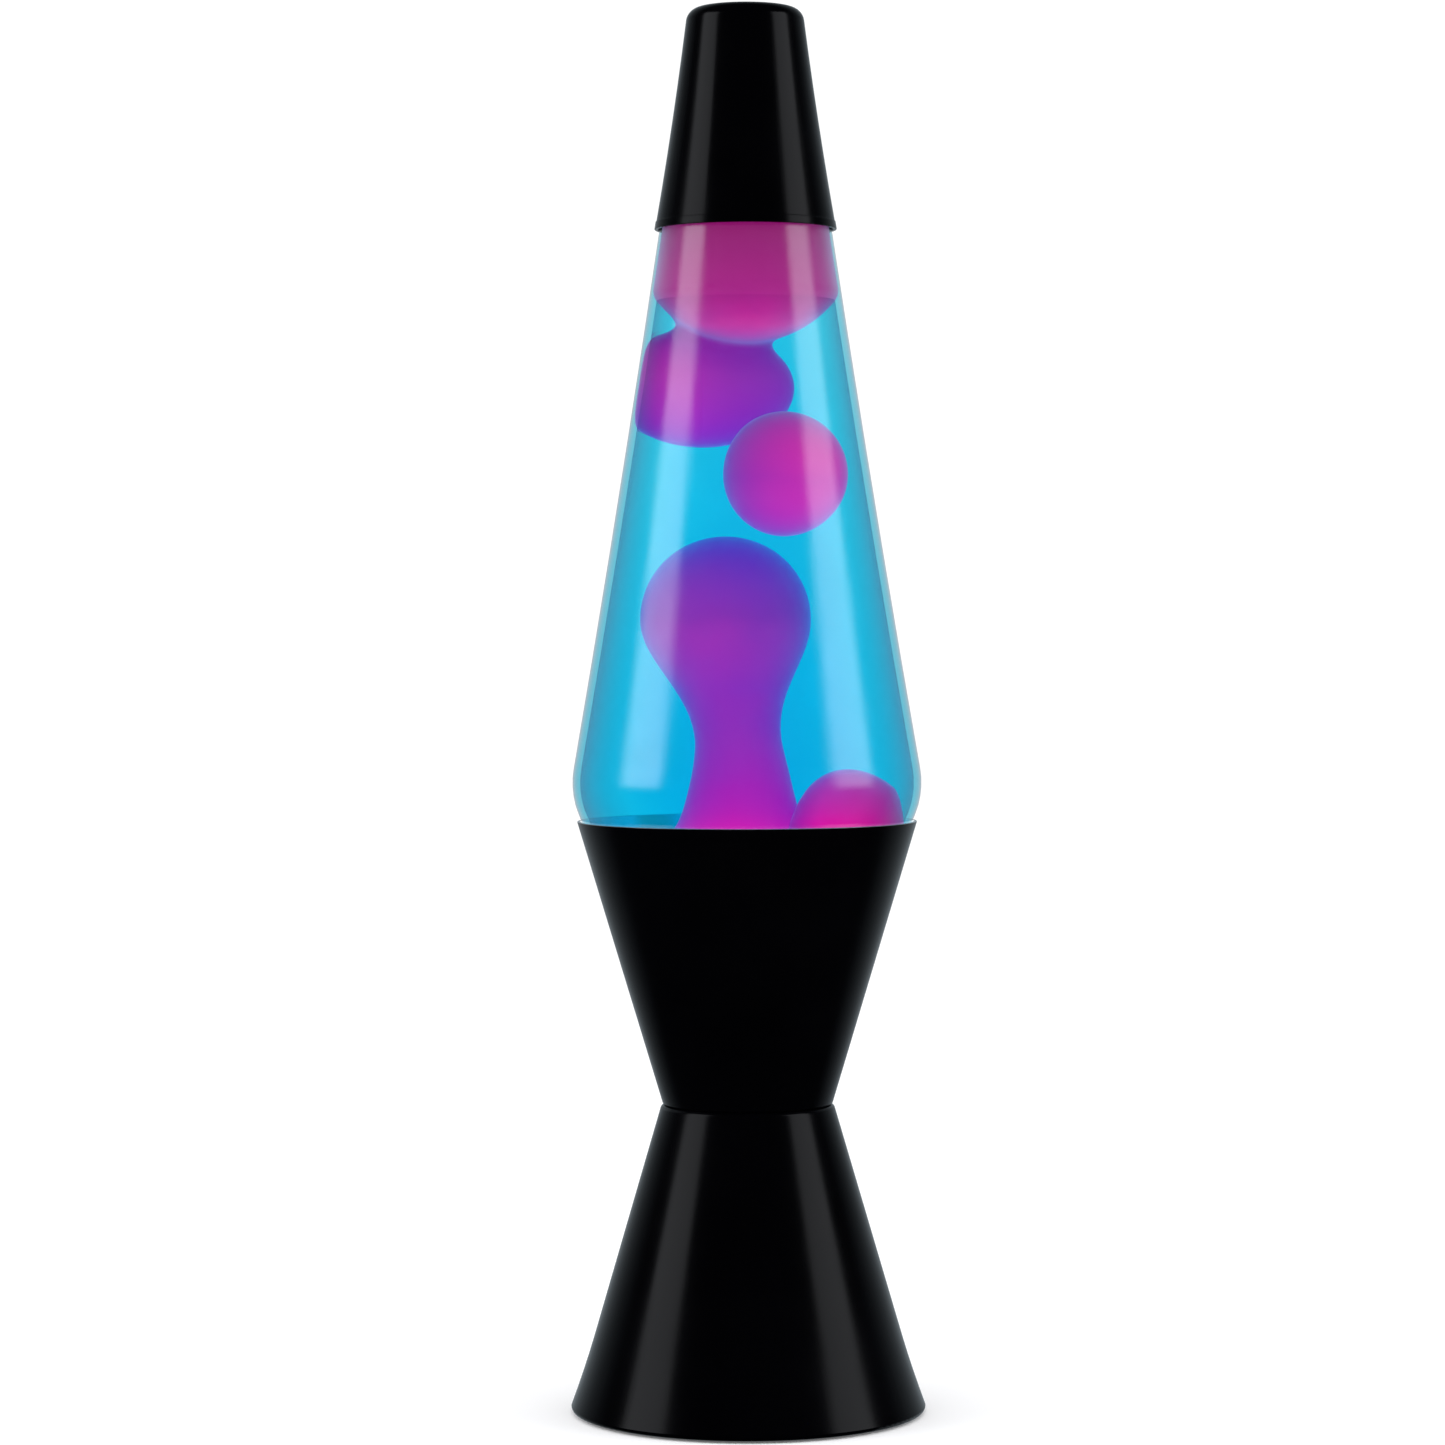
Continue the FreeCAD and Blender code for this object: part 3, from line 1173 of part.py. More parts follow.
def make_dyed_water(space, solids):
    """Blue water that fills the rest of the globe up to the neck, with room for each wax and the coil."""
    ball_room = sphere("ball_room", "ball_radius + loose_gap", "ball_across", "-ball_forward", "ball_height")
    return finish(cut("water", space, fuse("water_room", solids + [ball_room])), "dyed_water")


def cap_steps(inset):
    """Corners of the cap's outside, drawn in by inset, from its rim up to the middle of its top."""
    return [
        ("cap_rim_radius - " + inset, "cap_rim_height"),
        ("cap_top_radius - " + inset, "cap_shoulder_height - " + inset, "cap_curve", -1),
        ("0", "lamp_height - " + inset),
    ]


def make_cap():
    """Spun cap, open underneath, that sits over the globe's neck and lifts straight off."""
    outside = turned("cap_outside", cap_steps("0") + [("0", "cap_rim_height")])
    round_rings(outside, "cap_corner", [("cap_top_radius", "cap_shoulder_height")], "cap_round")
    hem = turned("cap_hem_ring", [
        ("cap_top_radius", "cap_rim_height"),
        ("cap_rim_radius + cap_hem_proud", "cap_rim_height"),
        ("cap_rim_radius + cap_hem_proud - cap_hem_lean", "cap_rim_height + cap_hem"),
        ("cap_top_radius", "cap_rim_height + cap_hem"),
    ])
    round_rings(hem, "cap_hem_edges", [
        ("cap_rim_radius + cap_hem_proud", "cap_rim_height"),
        ("cap_rim_radius + cap_hem_proud - cap_hem_lean", "cap_rim_height + cap_hem"),
    ], "rim_soften")
    inside = turned("cap_inside", cap_steps("cap_wall") + [("0", "cap_rim_height")])
    corner = ("cap_top_radius - cap_wall", "cap_shoulder_height - cap_wall")
    round_rings(inside, "cap_inner_corner", [corner], "cap_round - cap_wall")
    blank = fuse("cap_blank", [outside, hem])
    return finish(cut("cap_spun", blank, inside), "cap")


def check(things):
    """Stop if any object failed, or a piece has no sound shape."""
    for thing in doc.Objects:
        if "Invalid" in thing.State or "Error" in thing.State:
            raise RuntimeError("%s failed: %s" % (thing.Name, thing.State))
    for thing in things:
        if thing.Shape.isNull() or not thing.Shape.isValid() or not thing.Shape.Solids:
            raise RuntimeError("%s has no sound shape" % thing.Label)


def main():
    """Build every piece, check them all and write each one to its own file."""
    fill_sheet()
    make_foot()
    make_cup()
    make_waist_rivets()
    make_socket_bracket()
    make_lampholder()
    make_threaded_nipple()
    make_nipple_nut()
    make_lock_washer()
    make_screw_shell()
    make_centre_contact()
    make_terminal_screws()
    make_cord_grommet()
    make_bottom_cover()
    make_cover_screws()
    make_rubber_feet()
    make_bulb_screw_cap()
    make_bulb_insulator()
    make_bulb_tip()
    make_bulb_glass()
    make_bulb_stem()
    make_bulb_lead_wires()
    make_bulb_filament()
    make_globe_glass()
    make_crown_liner()
    make_crown_closure()
    space = vessel("globe_contents", "(glass + film)", "fill_height")
    make_heat_coil()
    coil_room = make_coil_room()
    waxes = [make_wax_column(), make_wax_pool(space, coil_room)]
    waxes += [make_wax_top_mass(space), make_wax_upper_blob(space)]
    make_wax_ball()
    make_dyed_water(space, waxes + [coil_room])
    make_cap()
    doc.recompute()
    check(parts)
    os.makedirs("parts", exist_ok=True)
    for piece in parts:
        piece.Shape.exportStep(os.path.join("parts", piece.Label + ".step"))
        print("%-18s %2d solids %10.1f mm3" % (piece.Label, len(piece.Shape.Solids), piece.Shape.Volume))


main()
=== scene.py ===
import math
import bpy
import numpy as np
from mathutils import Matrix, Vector


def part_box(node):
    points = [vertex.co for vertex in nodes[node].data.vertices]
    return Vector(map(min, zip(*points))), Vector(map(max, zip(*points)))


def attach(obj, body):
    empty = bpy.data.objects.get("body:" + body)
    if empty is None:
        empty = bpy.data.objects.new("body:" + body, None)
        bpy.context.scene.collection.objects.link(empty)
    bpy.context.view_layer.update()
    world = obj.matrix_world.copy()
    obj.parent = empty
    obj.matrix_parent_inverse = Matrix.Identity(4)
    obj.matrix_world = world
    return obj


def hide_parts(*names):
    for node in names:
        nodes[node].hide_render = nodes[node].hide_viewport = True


# Lava lamp: black spun-metal foot, cup and cap, and a clear globe of dyed liquid and floating wax.
# Metres, in the same frame as the CAD model: +Z up, the floor at z 0, the lamp's axis at x 0, y 0.
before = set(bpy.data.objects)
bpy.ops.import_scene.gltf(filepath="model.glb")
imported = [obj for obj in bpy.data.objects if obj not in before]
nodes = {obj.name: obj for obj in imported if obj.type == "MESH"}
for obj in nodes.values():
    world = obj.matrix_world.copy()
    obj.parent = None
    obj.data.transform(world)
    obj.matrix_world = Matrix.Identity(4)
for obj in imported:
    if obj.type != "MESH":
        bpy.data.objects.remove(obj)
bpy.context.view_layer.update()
MM = 0.001

GLASS_SKIN = 0.25 * MM      # how far inside the glass's outside the liquid is drawn
NECK_INSET = 2.1 * MM       # the same, up in the neck, where the wall's thickness shows
WAX_SKIN = 0.7 * MM         # how far inside the glass's outside the wax lies, where it meets the glass
THROAT = 312.0 * MM         # height where the globe turns in to its neck
NECK = 327.8 * MM           # height where the neck starts
CUP_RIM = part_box("cup")[1].z
CUP_FOOT = 22.2 * MM        # outside radius of the cup at its floor
COLUMN_SWAY = 3.9 * MM      # how far the wax column's head leans left of its foot
PAINTED_GLOW = 7.0                  # brightness of the wax's painted glow, standing in for the bulb's light through it; its colours are divided by this
ALL_ROUND = 2 * np.pi


# ---------------------------------------------------------------- shapes

def put_in_mesh(name, rings, body, material, stands_for):
    """A closed piece from a grid of points, which takes the place of some CAD nodes: each row is a ring
    that closes on itself, and each end is closed with a fan to the middle of its ring. Faces point
    outwards."""
    rows, columns = rings.shape[:2]
    points = np.vstack([rings.reshape(-1, 3), rings[0].mean(0), rings[-1].mean(0)])
    first, last = rows * columns, rows * columns + 1
    row, column = np.meshgrid(np.arange(rows - 1), np.arange(columns), indexing="ij")
    following = (column + 1) % columns
    quads = np.stack([row * columns + column, row * columns + following,
                      (row + 1) * columns + following, (row + 1) * columns + column], -1).reshape(-1, 4)
    around = np.arange(columns)
    ahead = (around + 1) % columns
    start_fan = np.stack([np.full(columns, first), ahead, around], -1)
    end_fan = np.stack([np.full(columns, last), (rows - 1) * columns + around,
                        (rows - 1) * columns + ahead], -1)
    triangles = np.vstack([quads[:, [0, 1, 2]], quads[:, [0, 2, 3]], start_fan, end_fan])
    a, b, c = (points[triangles[:, k]] for k in range(3))
    if np.einsum("ij,ij->i", a, np.cross(b, c)).sum() < 0:
        quads, start_fan, end_fan = quads[:, ::-1], start_fan[:, ::-1], end_fan[:, ::-1]
    mesh = bpy.data.meshes.new(name)
    mesh.from_pydata(points.tolist(), [], quads.tolist() + start_fan.tolist() + end_fan.tolist())
    mesh.polygons.foreach_set("use_smooth", np.ones(len(mesh.polygons), bool))
    mesh.materials.append(material)
    piece = bpy.data.objects.new(name, mesh)
    bpy.context.scene.collection.objects.link(piece)
    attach(piece, body)
    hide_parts(*stands_for)
    return piece


def angles(columns):
    """Even angles all round the axis."""
    return np.linspace(0, ALL_ROUND, columns, endpoint=False)


def turned_rings(radius, height, columns=144):
    """Rings of a turned shape: the point at angle t of ring i is
    (radius i cos t, radius i sin t, height i)."""
    turn = angles(columns)
    return np.stack([np.outer(radius, np.cos(turn)), np.outer(radius, np.sin(turn)),
                     np.repeat(np.asarray(height)[:, None], columns, 1)], -1)


def directions(rows, columns):
    """Ways out from a middle: rings of unit vectors from straight up to straight down, both left out."""
    lean, turn = np.meshgrid(np.linspace(0, np.pi, rows)[1:-1], angles(columns), indexing="ij")
    return np.stack([np.sin(lean) * np.cos(turn), np.sin(lean) * np.sin(turn), np.cos(lean)], -1)


def felt(starts, way):
    """Where rays from each start, all going one way, first meet the globe's glass, as (x, y, z) rows."""
    glass = nodes["globe_glass"]
    return np.array([glass.ray_cast(Vector(start), Vector(way))[1] for start in starts])


def level_rays(heights, start, way):
    """Radius of the glass at each height, felt with a level ray from a start on the x axis."""
    return felt([(start, 0, height) for height in heights], (way, 0, 0))[:, 0]


def globe_profile():
    """The globe's section, felt with rays: out along its underside, up its outside, over the mouth, down
    its inside and in along its floor, as radii and heights. After them come the heights and the radii of
    its outside alone."""
    low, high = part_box("globe_glass")
    mouth = high.z
    pinhole = 0.2 * MM          # radius of the smallest rings
    clear_of_it = 0.2           # distance from the axis that is well outside the lamp
    knee = 29                   # ring of the outside below which the inside has heights of its own
    across = np.linspace(pinhole, 36.5 * MM, 44)
    rise = np.concatenate([low.z + np.linspace(1.8, 12, 20) * MM,
                           np.linspace(low.z + 13 * MM, THROAT - 3 * MM, 70),
                           np.linspace(THROAT - 2 * MM, mouth - 6 * MM, 62),
                           np.linspace(mouth - 5.7 * MM, mouth - 0.1 * MM, 34)])
    under = felt([(radius, 0, low.z - 10 * MM) for radius in across], (0, 0, 1))[:, 2]
    outside = level_rays(rise, clear_of_it, -1)
    middle = low.z + 60 * MM
    floor_reach = np.linspace(33 * MM, pinhole, 30)
    floor = felt([(radius, 0, middle) for radius in floor_reach], (0, 0, -1))[:, 2]
    fall = np.concatenate([rise[:knee:-1], np.linspace(rise[knee], floor[0] + 1.6 * MM, 30)])
    inside = level_rays(fall, 0.0, 1)
    return (np.concatenate([across, outside, inside, floor_reach]),
            np.concatenate([under, rise, fall, floor]), rise, outside)


globe_radii, globe_heights, wall_heights, wall_reach = globe_profile()


def wall_radius(height):
    """Outside radius of the globe at any height, between the measured ones."""
    return np.interp(height, wall_heights, wall_reach)


def soft_least(a, b, blend):
    """The lesser of two fields, rounded where they are within blend of each other."""
    mix = np.clip(0.5 + 0.5 * (b - a) / blend, 0, 1)
    return b + (a - b) * mix - blend * mix * (1 - mix)


def soft_most(a, b, blend):
    """The greater of two fields, rounded in the same way."""
    return -soft_least(-a, -b, blend)


def steps(x, low, high):
    """A smooth rise from 0 at low to 1 at high."""
    t = np.clip((x - low) / (high - low), 0, 1)
    return t * t * (3 - 2 * t)


def globe_shell(material):
    """The glass of the globe: its section turned about the lamp's axis."""
    rings = turned_rings(globe_radii, globe_heights, 160)
    return put_in_mesh("globe_shell", rings, "globe", material, ["globe_glass"])


def liquid_body(material):
    """The dyed liquid: the globe's outline drawn in by a skin, from the glass floor to the neck."""
    low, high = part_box("dyed_water")
    height = np.linspace(low.z, high.z, 190)
    inset = np.interp(height, [THROAT, NECK], [GLASS_SKIN, NECK_INSET])
    radius = wall_radius(height) - inset
    rings = turned_rings(radius, height)
    return put_in_mesh("liquid", rings, "globe", material, ["dyed_water"])


def ball_of_wax(material):
    """The free ball: a sphere whose radius swells and sinks a little with direction."""
    low, high = (np.array(corner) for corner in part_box("wax_ball"))
    middle = (low + high) / 2
    radius = (high[0] - low[0]) / 2
    way = directions(74, 112)
    swell = 1 - 0.012 + 0.008 * np.sin(2 * way[..., 0] + 3 * way[..., 2]) + 0.004 * np.cos(5 * way[..., 1])
    return put_in_mesh("floating_ball", middle + way * (radius * swell)[..., None], "free_wax",
                       material, ["wax_ball"])


def column_of_wax(material):
    """The column: rings on a leaning axis, whose radius goes from a flared foot in to a waist and out
    along a flank that meets the round head smoothly."""
    low, high = (np.array(corner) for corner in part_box("wax_column"))
    middle = (low + high) / 2
    head = (high[0] - low[0]) / 2
    head_height = high[2] - head
    foot_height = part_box("wax_column")[0].z - 1.5 * MM
    waist_height, waist = 175.5 * MM, 11.5 * MM
    climb = np.concatenate([np.linspace(foot_height, head_height, 90),
                            head_height + head * np.sin(np.linspace(0, np.pi / 2, 40)[1:-1])])
    below = np.clip(waist_height - climb, 0, None) / (waist_height - foot_height)
    foot = waist + 6.4 * MM * below ** 1.3 + 7 * MM * below ** 9
    above = np.clip((climb - waist_height) / (head_height - waist_height), 0, 1)
    flank = waist + (head - waist) * (0.5 - 0.5 * np.cos(np.pi * above ** 1.12))
    crown = np.sqrt(np.clip(head ** 2 - np.clip(climb - head_height, 0, None) ** 2, 0, None))
    radius = np.where(climb < waist_height, foot, np.where(climb < head_height, flank, crown))
    columns = 120
    rings = turned_rings(radius, climb, columns)
    ripple = 0.02 * np.sin(2 * angles(columns)[None, :] + climb[:, None] * 60)
    uneven = 1 + ripple * steps(climb, 150 * MM, 200 * MM)[:, None]
    rings[..., :2] *= uneven[..., None]
    foot_x = middle[0] + 1.9 * MM
    sway = COLUMN_SWAY * steps(climb, 165 * MM, head_height)
    rings[..., 0] += (foot_x - sway)[:, None]
    rings[..., 1] += middle[1]
    return put_in_mesh("rising_column", rings, "globe", material, ["wax_column"])


def pool_of_wax(material):
    """The pool: a nearly level top with a dome swelling out of it at the right, then down the glass to its
    floor."""
    low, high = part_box("wax_pool")
    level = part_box("wax_column")[0].z
    floor = low.z + 2.4 * MM
    dome_x, dome_y, dome_half, dome_rise = 26.2 * MM, -5 * MM, 14.6 * MM, high.z - level
    columns = 180
    turn = angles(columns)
    share = np.linspace(0, 1, 110)[1:]
    rim = wall_radius(level) - WAX_SKIN
    reach = share[:, None] * rim * np.ones(columns)
    x, y = reach * np.cos(turn), reach * np.sin(turn)
    away = np.hypot((x - dome_x) / dome_half, (y - dome_y) / dome_half)
    dome = np.sqrt(np.clip(1 - away ** 2, 0, None)) ** 0.85 * dome_rise
    skirt = 9.5 * MM * np.exp(-np.clip(away - 0.82, 0, None) ** 2 / 0.08)
    swell = 0.8 * MM * np.sin(x / (11 * MM) + 1.3) * np.cos(y / (13 * MM))
    top = level + soft_most(dome, skirt + swell, 3 * MM)
    pull = 1 - 0.5 * steps(share, 0.9, 1)[:, None] * (away < 1.6)
    top = level + (top - level) * pull
    slip = wall_radius(top) - wall_radius(level)
    outward = 1 + slip * share[:, None] ** 6 / rim
    cover = np.stack([x * outward, y * outward, top], -1)
    side_height = np.linspace(level - 1 * MM, floor, 26)
    side = turned_rings(wall_radius(side_height) - WAX_SKIN, side_height, columns)
    base_rings = 9
    base_reach = (wall_radius(floor) - WAX_SKIN) * np.linspace(0.9, 0.1, base_rings)
    base = turned_rings(base_reach, np.full(base_rings, floor), columns)
    return put_in_mesh("wax_lake", np.concatenate([cover, side, base]), "globe", material,
                       ["wax_pool"])


def crown_of_wax(material):
    """The wax under the cap with the blob that hangs from it: a bowl and a flattened ball, melted together
    and pressed against the glass. The ball's left end swings forward. Each point lies on a ray from a
    middle inside the wax, where the field is 0. It is found by halving."""
    low, high = (np.array(corner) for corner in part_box("wax_upper_blob"))
    blob = np.array([-11.6 * MM, (low[1] + high[1]) / 2 + 0.6 * MM, (low[2] + high[2]) / 2])
    blob_half = np.array([24.5 * MM, (high[1] - low[1]) / 2, (high[2] - low[2]) / 2 + 0.2 * MM])
    top_low, top_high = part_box("wax_top_mass")
    bowl = 30.3 * MM
    bowl_middle = np.array([0, 0, top_low.z + bowl])
    middle = np.array([-7 * MM, 6 * MM, 281 * MM])
    beyond = 62 * MM            # further from the middle than any of the wax
    halvings = 34

    def field(place):
        """Below 0 in the wax, above 0 outside, near enough a distance in metres."""
        away = place - blob
        away[..., 1] -= 0.4 * np.minimum(away[..., 0], 0)
        hanging = (np.linalg.norm(away / blob_half, axis=-1) - 1) * blob_half[1]
        under_cap = np.linalg.norm(place - bowl_middle, axis=-1) - bowl
        under_cap = soft_most(under_cap, place[..., 2] - top_high.z, 1 * MM)
        glass = np.hypot(place[..., 0], place[..., 1]) - wall_radius(place[..., 2]) + WAX_SKIN
        return soft_most(soft_least(hanging, under_cap, 6.5 * MM), glass, 1.4 * MM)

    way = directions(252, 320)
    near, far = np.zeros(way.shape[:2]), np.full(way.shape[:2], beyond)
    for _ in range(halvings):
        half = (near + far) / 2
        inside = field(middle + way * half[..., None]) < 0
        near, far = np.where(inside, half, near), np.where(inside, far, half)
    return put_in_mesh("crown_wax", middle + way * near[..., None], "globe", material,
                       ["wax_top_mass", "wax_upper_blob"])


def tube(path, radius):
    """Rings of a round wire: at each point of the path, a circle square to the path's direction."""
    ahead = np.gradient(path, axis=0)
    ahead /= np.linalg.norm(ahead, axis=1, keepdims=True)
    side = np.cross(ahead, [0, 0, 1.0])
    side /= np.linalg.norm(side, axis=1, keepdims=True)
    over = np.cross(side, ahead)
    turn = angles(8)[:, None]
    return path[:, None] + radius * (np.cos(turn) * side[:, None] + np.sin(turn) * over[:, None])


def spring_in_globe(material):
    """The heating coil: a wire wound round a ring, with a gap where its ends meet. Its middle line is the
    ring's circle at angle t, pushed out and up by the winding's radius times the cosine and sine of the
    number of turns times t."""
    low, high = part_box("heat_coil")
    wire = 0.5 * MM
    winding = (high.z - low.z) / 2 - wire
    ring = (high.x - low.x) / 2 - winding - wire
    turns, points_a_turn = 58, 18
    t = np.linspace(0, ALL_ROUND * 0.985, turns * points_a_turn)
    reach = ring + winding * np.cos(turns * t)
    height = (low.z + high.z) / 2 + winding * np.sin(turns * t)
    path = np.stack([reach * np.cos(t), reach * np.sin(t), height], -1)
    return put_in_mesh("coil_spring", tube(path, wire), "globe", material, ["heat_coil"])


# ---------------------------------------------------------------- finishes

class Finish:
    """A node material for one of the lamp's finishes: a Principled surface fed by patterns on Object
    coordinates, which stay with the piece."""

    def __init__(self, name):
        self.material = bpy.data.materials.new(name)
        self.material.use_nodes = True
        self.tree = self.material.node_tree
        self.shader = self.tree.nodes["Principled BSDF"]
        self.place = self.tree.nodes.new("ShaderNodeTexCoord")
        self.maps = {}

    def node(self, kind, **settings):
        """A new node with its settings."""
        made = self.tree.nodes.new(kind)
        for key, setting in settings.items():
            setattr(made, key, setting)
        return made

    def link(self, start, end):
        """Join an output socket to an input socket."""
        self.tree.links.new(start, end)

    def put(self, thing, socket):
        """Feed a socket with a pattern, a plain colour or a plain number."""
        if isinstance(thing, bpy.types.NodeSocket):
            self.link(thing, socket)
        elif isinstance(thing, tuple):
            socket.default_value = (*thing, 1)
        else:
            socket.default_value = thing

    def plain(self, **sockets):
        """Plain values on the surface's own sockets; underscores stand for spaces."""
        for name, setting in sockets.items():
            self.shader.inputs[name.replace("_", " ")].default_value = setting

    def stretched(self, across, up):
        """Object coordinates scaled across and up, for grain that runs one way."""
        key = (across, up)
        if key not in self.maps:
            mapping = self.node("ShaderNodeMapping")
            mapping.inputs["Scale"].default_value = (across, across, up)
            self.link(self.place.outputs["Object"], mapping.inputs["Vector"])
            self.maps[key] = mapping.outputs["Vector"]
        return self.maps[key]

    def noise(self, scale, detail, across=1.0, up=1.0):
        """Cloudy noise, per metre."""
        cloud = self.node("ShaderNodeTexNoise")
        cloud.inputs["Scale"].default_value = scale
        cloud.inputs["Detail"].default_value = detail
        cloud.inputs["Roughness"].default_value = 0.55
        self.link(self.stretched(across, up), cloud.inputs["Vector"])
        return cloud.outputs["Fac"]

    def specks(self, scale, size):
        """1 inside small round specks, 0 elsewhere."""
        cells = self.node("ShaderNodeTexVoronoi")
        cells.inputs["Scale"].default_value = scale
        self.link(self.place.outputs["Object"], cells.inputs["Vector"])
        return self.ramp(cells.outputs["Distance"], [(0.0, 1.0), (size, 0.0)])

    def axis(self, letter):
        """One of the Object coordinates."""
        split = self.node("ShaderNodeSeparateXYZ")
        self.link(self.place.outputs["Object"], split.inputs[0])
        return split.outputs[letter]

    def out_from_axis(self):
        """Distance from the lamp's axis."""
        flat = self.node("ShaderNodeVectorMath", operation="MULTIPLY")
        flat.inputs[1].default_value = (1, 1, 0)
        self.link(self.place.outputs["Object"], flat.inputs[0])
        reach = self.node("ShaderNodeVectorMath", operation="LENGTH")
        self.link(flat.outputs["Vector"], reach.inputs[0])
        return reach.outputs["Value"]

    def worked_out(self, operation, *things):
        """The outcome of a sum on patterns and plain numbers."""
        maths = self.node("ShaderNodeMath", operation=operation)
        for number, thing in enumerate(things):
            self.put(thing, maths.inputs[number])
        return maths.outputs[0]

    def spread(self, source, low, high, to_low=0.0, to_high=1.0):
        """A value carried from one range to another, held at its ends."""
        carry = self.node("ShaderNodeMapRange")
        ends = {"From Min": low, "From Max": high, "To Min": to_low, "To Max": to_high}
        for socket, setting in ends.items():
            carry.inputs[socket].default_value = setting
        self.link(source, carry.inputs["Value"])
        return carry.outputs["Result"]

    def ramp(self, source, stops):
        """A colour or grey for each value. Each stop is (place, colour or grey)."""
        band = self.node("ShaderNodeValToRGB")
        elements = band.color_ramp.elements
        for number, (place, colour) in enumerate(stops):
            element = elements[number] if number < 2 else elements.new(place)
            element.position = place
            element.color = (*colour, 1) if isinstance(colour, tuple) else (colour, colour, colour, 1)
        self.link(source, band.inputs["Fac"])
        return band.outputs["Color"]

    def blend(self, share, first, second, way="MIX"):
        """Two colours mixed by a share; each is a socket or a plain colour."""
        mix = self.node("ShaderNodeMix", data_type="RGBA", blend_type=way)
        colour_sockets = 6, 7       # the mix node's two colour inputs; its colour output is 2
        self.put(share, mix.inputs[0])
        for number, colour in zip(colour_sockets, (first, second)):
            self.put(colour, mix.inputs[number])
        return mix.outputs[2]

    def bump(self, height, strength, depth):
        """Relief from a height pattern, onto the surface's normal."""
        relief = self.node("ShaderNodeBump")
        relief.inputs["Strength"].default_value = strength
        relief.inputs["Distance"].default_value = depth
        self.link(height, relief.inputs["Height"])
        self.link(relief.outputs["Normal"], self.shader.inputs["Normal"])

    def feed(self, **sockets):
        """Link patterns to the surface's sockets; underscores stand for spaces."""
        for name, source in sockets.items():
            self.link(source, self.shader.inputs[name.replace("_", " ")])
        return self.material


def enamel(paint):
    """Baked enamel, near black with a few dust specks and a faint orange peel: its cloud and its colour."""
    cloud = paint.noise(26, 4)
    dust = paint.specks(900, 0.05)
    shade = paint.ramp(cloud, [(0.35, (0.0002, 0.0002, 0.0005)), (0.7, (0.0005, 0.0005, 0.001))])
    paint.bump(paint.noise(1500, 2), 0.12, 0.03 * MM)
    return cloud, paint.blend(dust, shade, (0.006, 0.006, 0.008))


def black_gloss_paint():
    """The enamel of the foot and the cap."""
    paint = Finish("black_enamel")
    cloud, shade = enamel(paint)
    paint.plain(Specular_IOR_Level=0.1, Metallic=0.0)
    return paint.feed(Base_Color=shade, Roughness=paint.spread(cloud, 0.3, 0.7, 0.16, 0.22))


def cup_paint():
    """The same enamel outside the cup. Its rim and its inside are bare aluminium, and the inside carries a
    painted glow that stands in for the lamp's light, brighter towards the rim."""
    paint = Finish("black_enamel_bare_rim")
    cloud, shade = enamel(paint)
    rim = paint.spread(paint.axis("Z"), CUP_RIM - 0.16 * MM, CUP_RIM - 0.06 * MM)
    low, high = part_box("cup")
    outside = paint.spread(paint.axis("Z"), low.z, high.z, CUP_FOOT, high.x)
    depth = paint.worked_out("SUBTRACT", outside, paint.out_from_axis())
    inside = paint.spread(depth, 0.6 * MM, 0.8 * MM)
    bare = paint.worked_out("MAXIMUM", rim, inside)
    shade = paint.blend(bare, shade, (0.5, 0.51, 0.53))
    # painted light: a glow on the cup's inside, painted brighter towards the rim
    upper = paint.spread(paint.axis("Z"), CUP_RIM - 9 * MM, CUP_RIM - 3 * MM)
    painted_lamplight = paint.blend(upper, (0.16, 0.15, 0.12), (0.62, 0.62, 0.6))
    glow = paint.blend(inside, (0.0, 0.0, 0.0), painted_lamplight)
    paint.plain(Specular_IOR_Level=0.1, Emission_Strength=0.8)
    return paint.feed(Base_Color=shade, Metallic=bare, Emission_Color=glow,
                      Roughness=paint.spread(cloud, 0.3, 0.7, 0.16, 0.24))


def metal(name, colour, rough, grain_across=1.0, grain_up=1.0, dullness=0.5):
    """Bare metal: a colour that darkens in cloudy patches, and fine grain that runs one way."""
    bare = Finish(name)
    dull = tuple(part * dullness for part in colour)
    cloud = bare.noise(70, 4)
    grain = bare.noise(240, 3, grain_across, grain_up)
    shade = bare.ramp(cloud, [(0.3, colour), (0.75, dull)])
    bare.bump(grain, 0.25, 0.05 * MM)
    bare.plain(Metallic=1.0)
    return bare.feed(Base_Color=shade, Roughness=bare.spread(grain, 0.3, 0.7, rough * 0.8, rough * 1.4))


def moulded(name, colour, paler, rough, scale=300, relief=0.2):
    """Moulded or fired stuff with no metal in it: two close shades in a cloud, and a fine relief."""
    stuff = Finish(name)
    cloud = stuff.noise(60, 4)
    pores = stuff.noise(scale * 4, 3)
    shade = stuff.ramp(cloud, [(0.3, colour), (0.7, paler)])
    stuff.bump(pores, relief, 0.06 * MM)
    return stuff.feed(Base_Color=shade, Roughness=stuff.spread(pores, 0.3, 0.7, rough * 0.85, rough * 1.2))


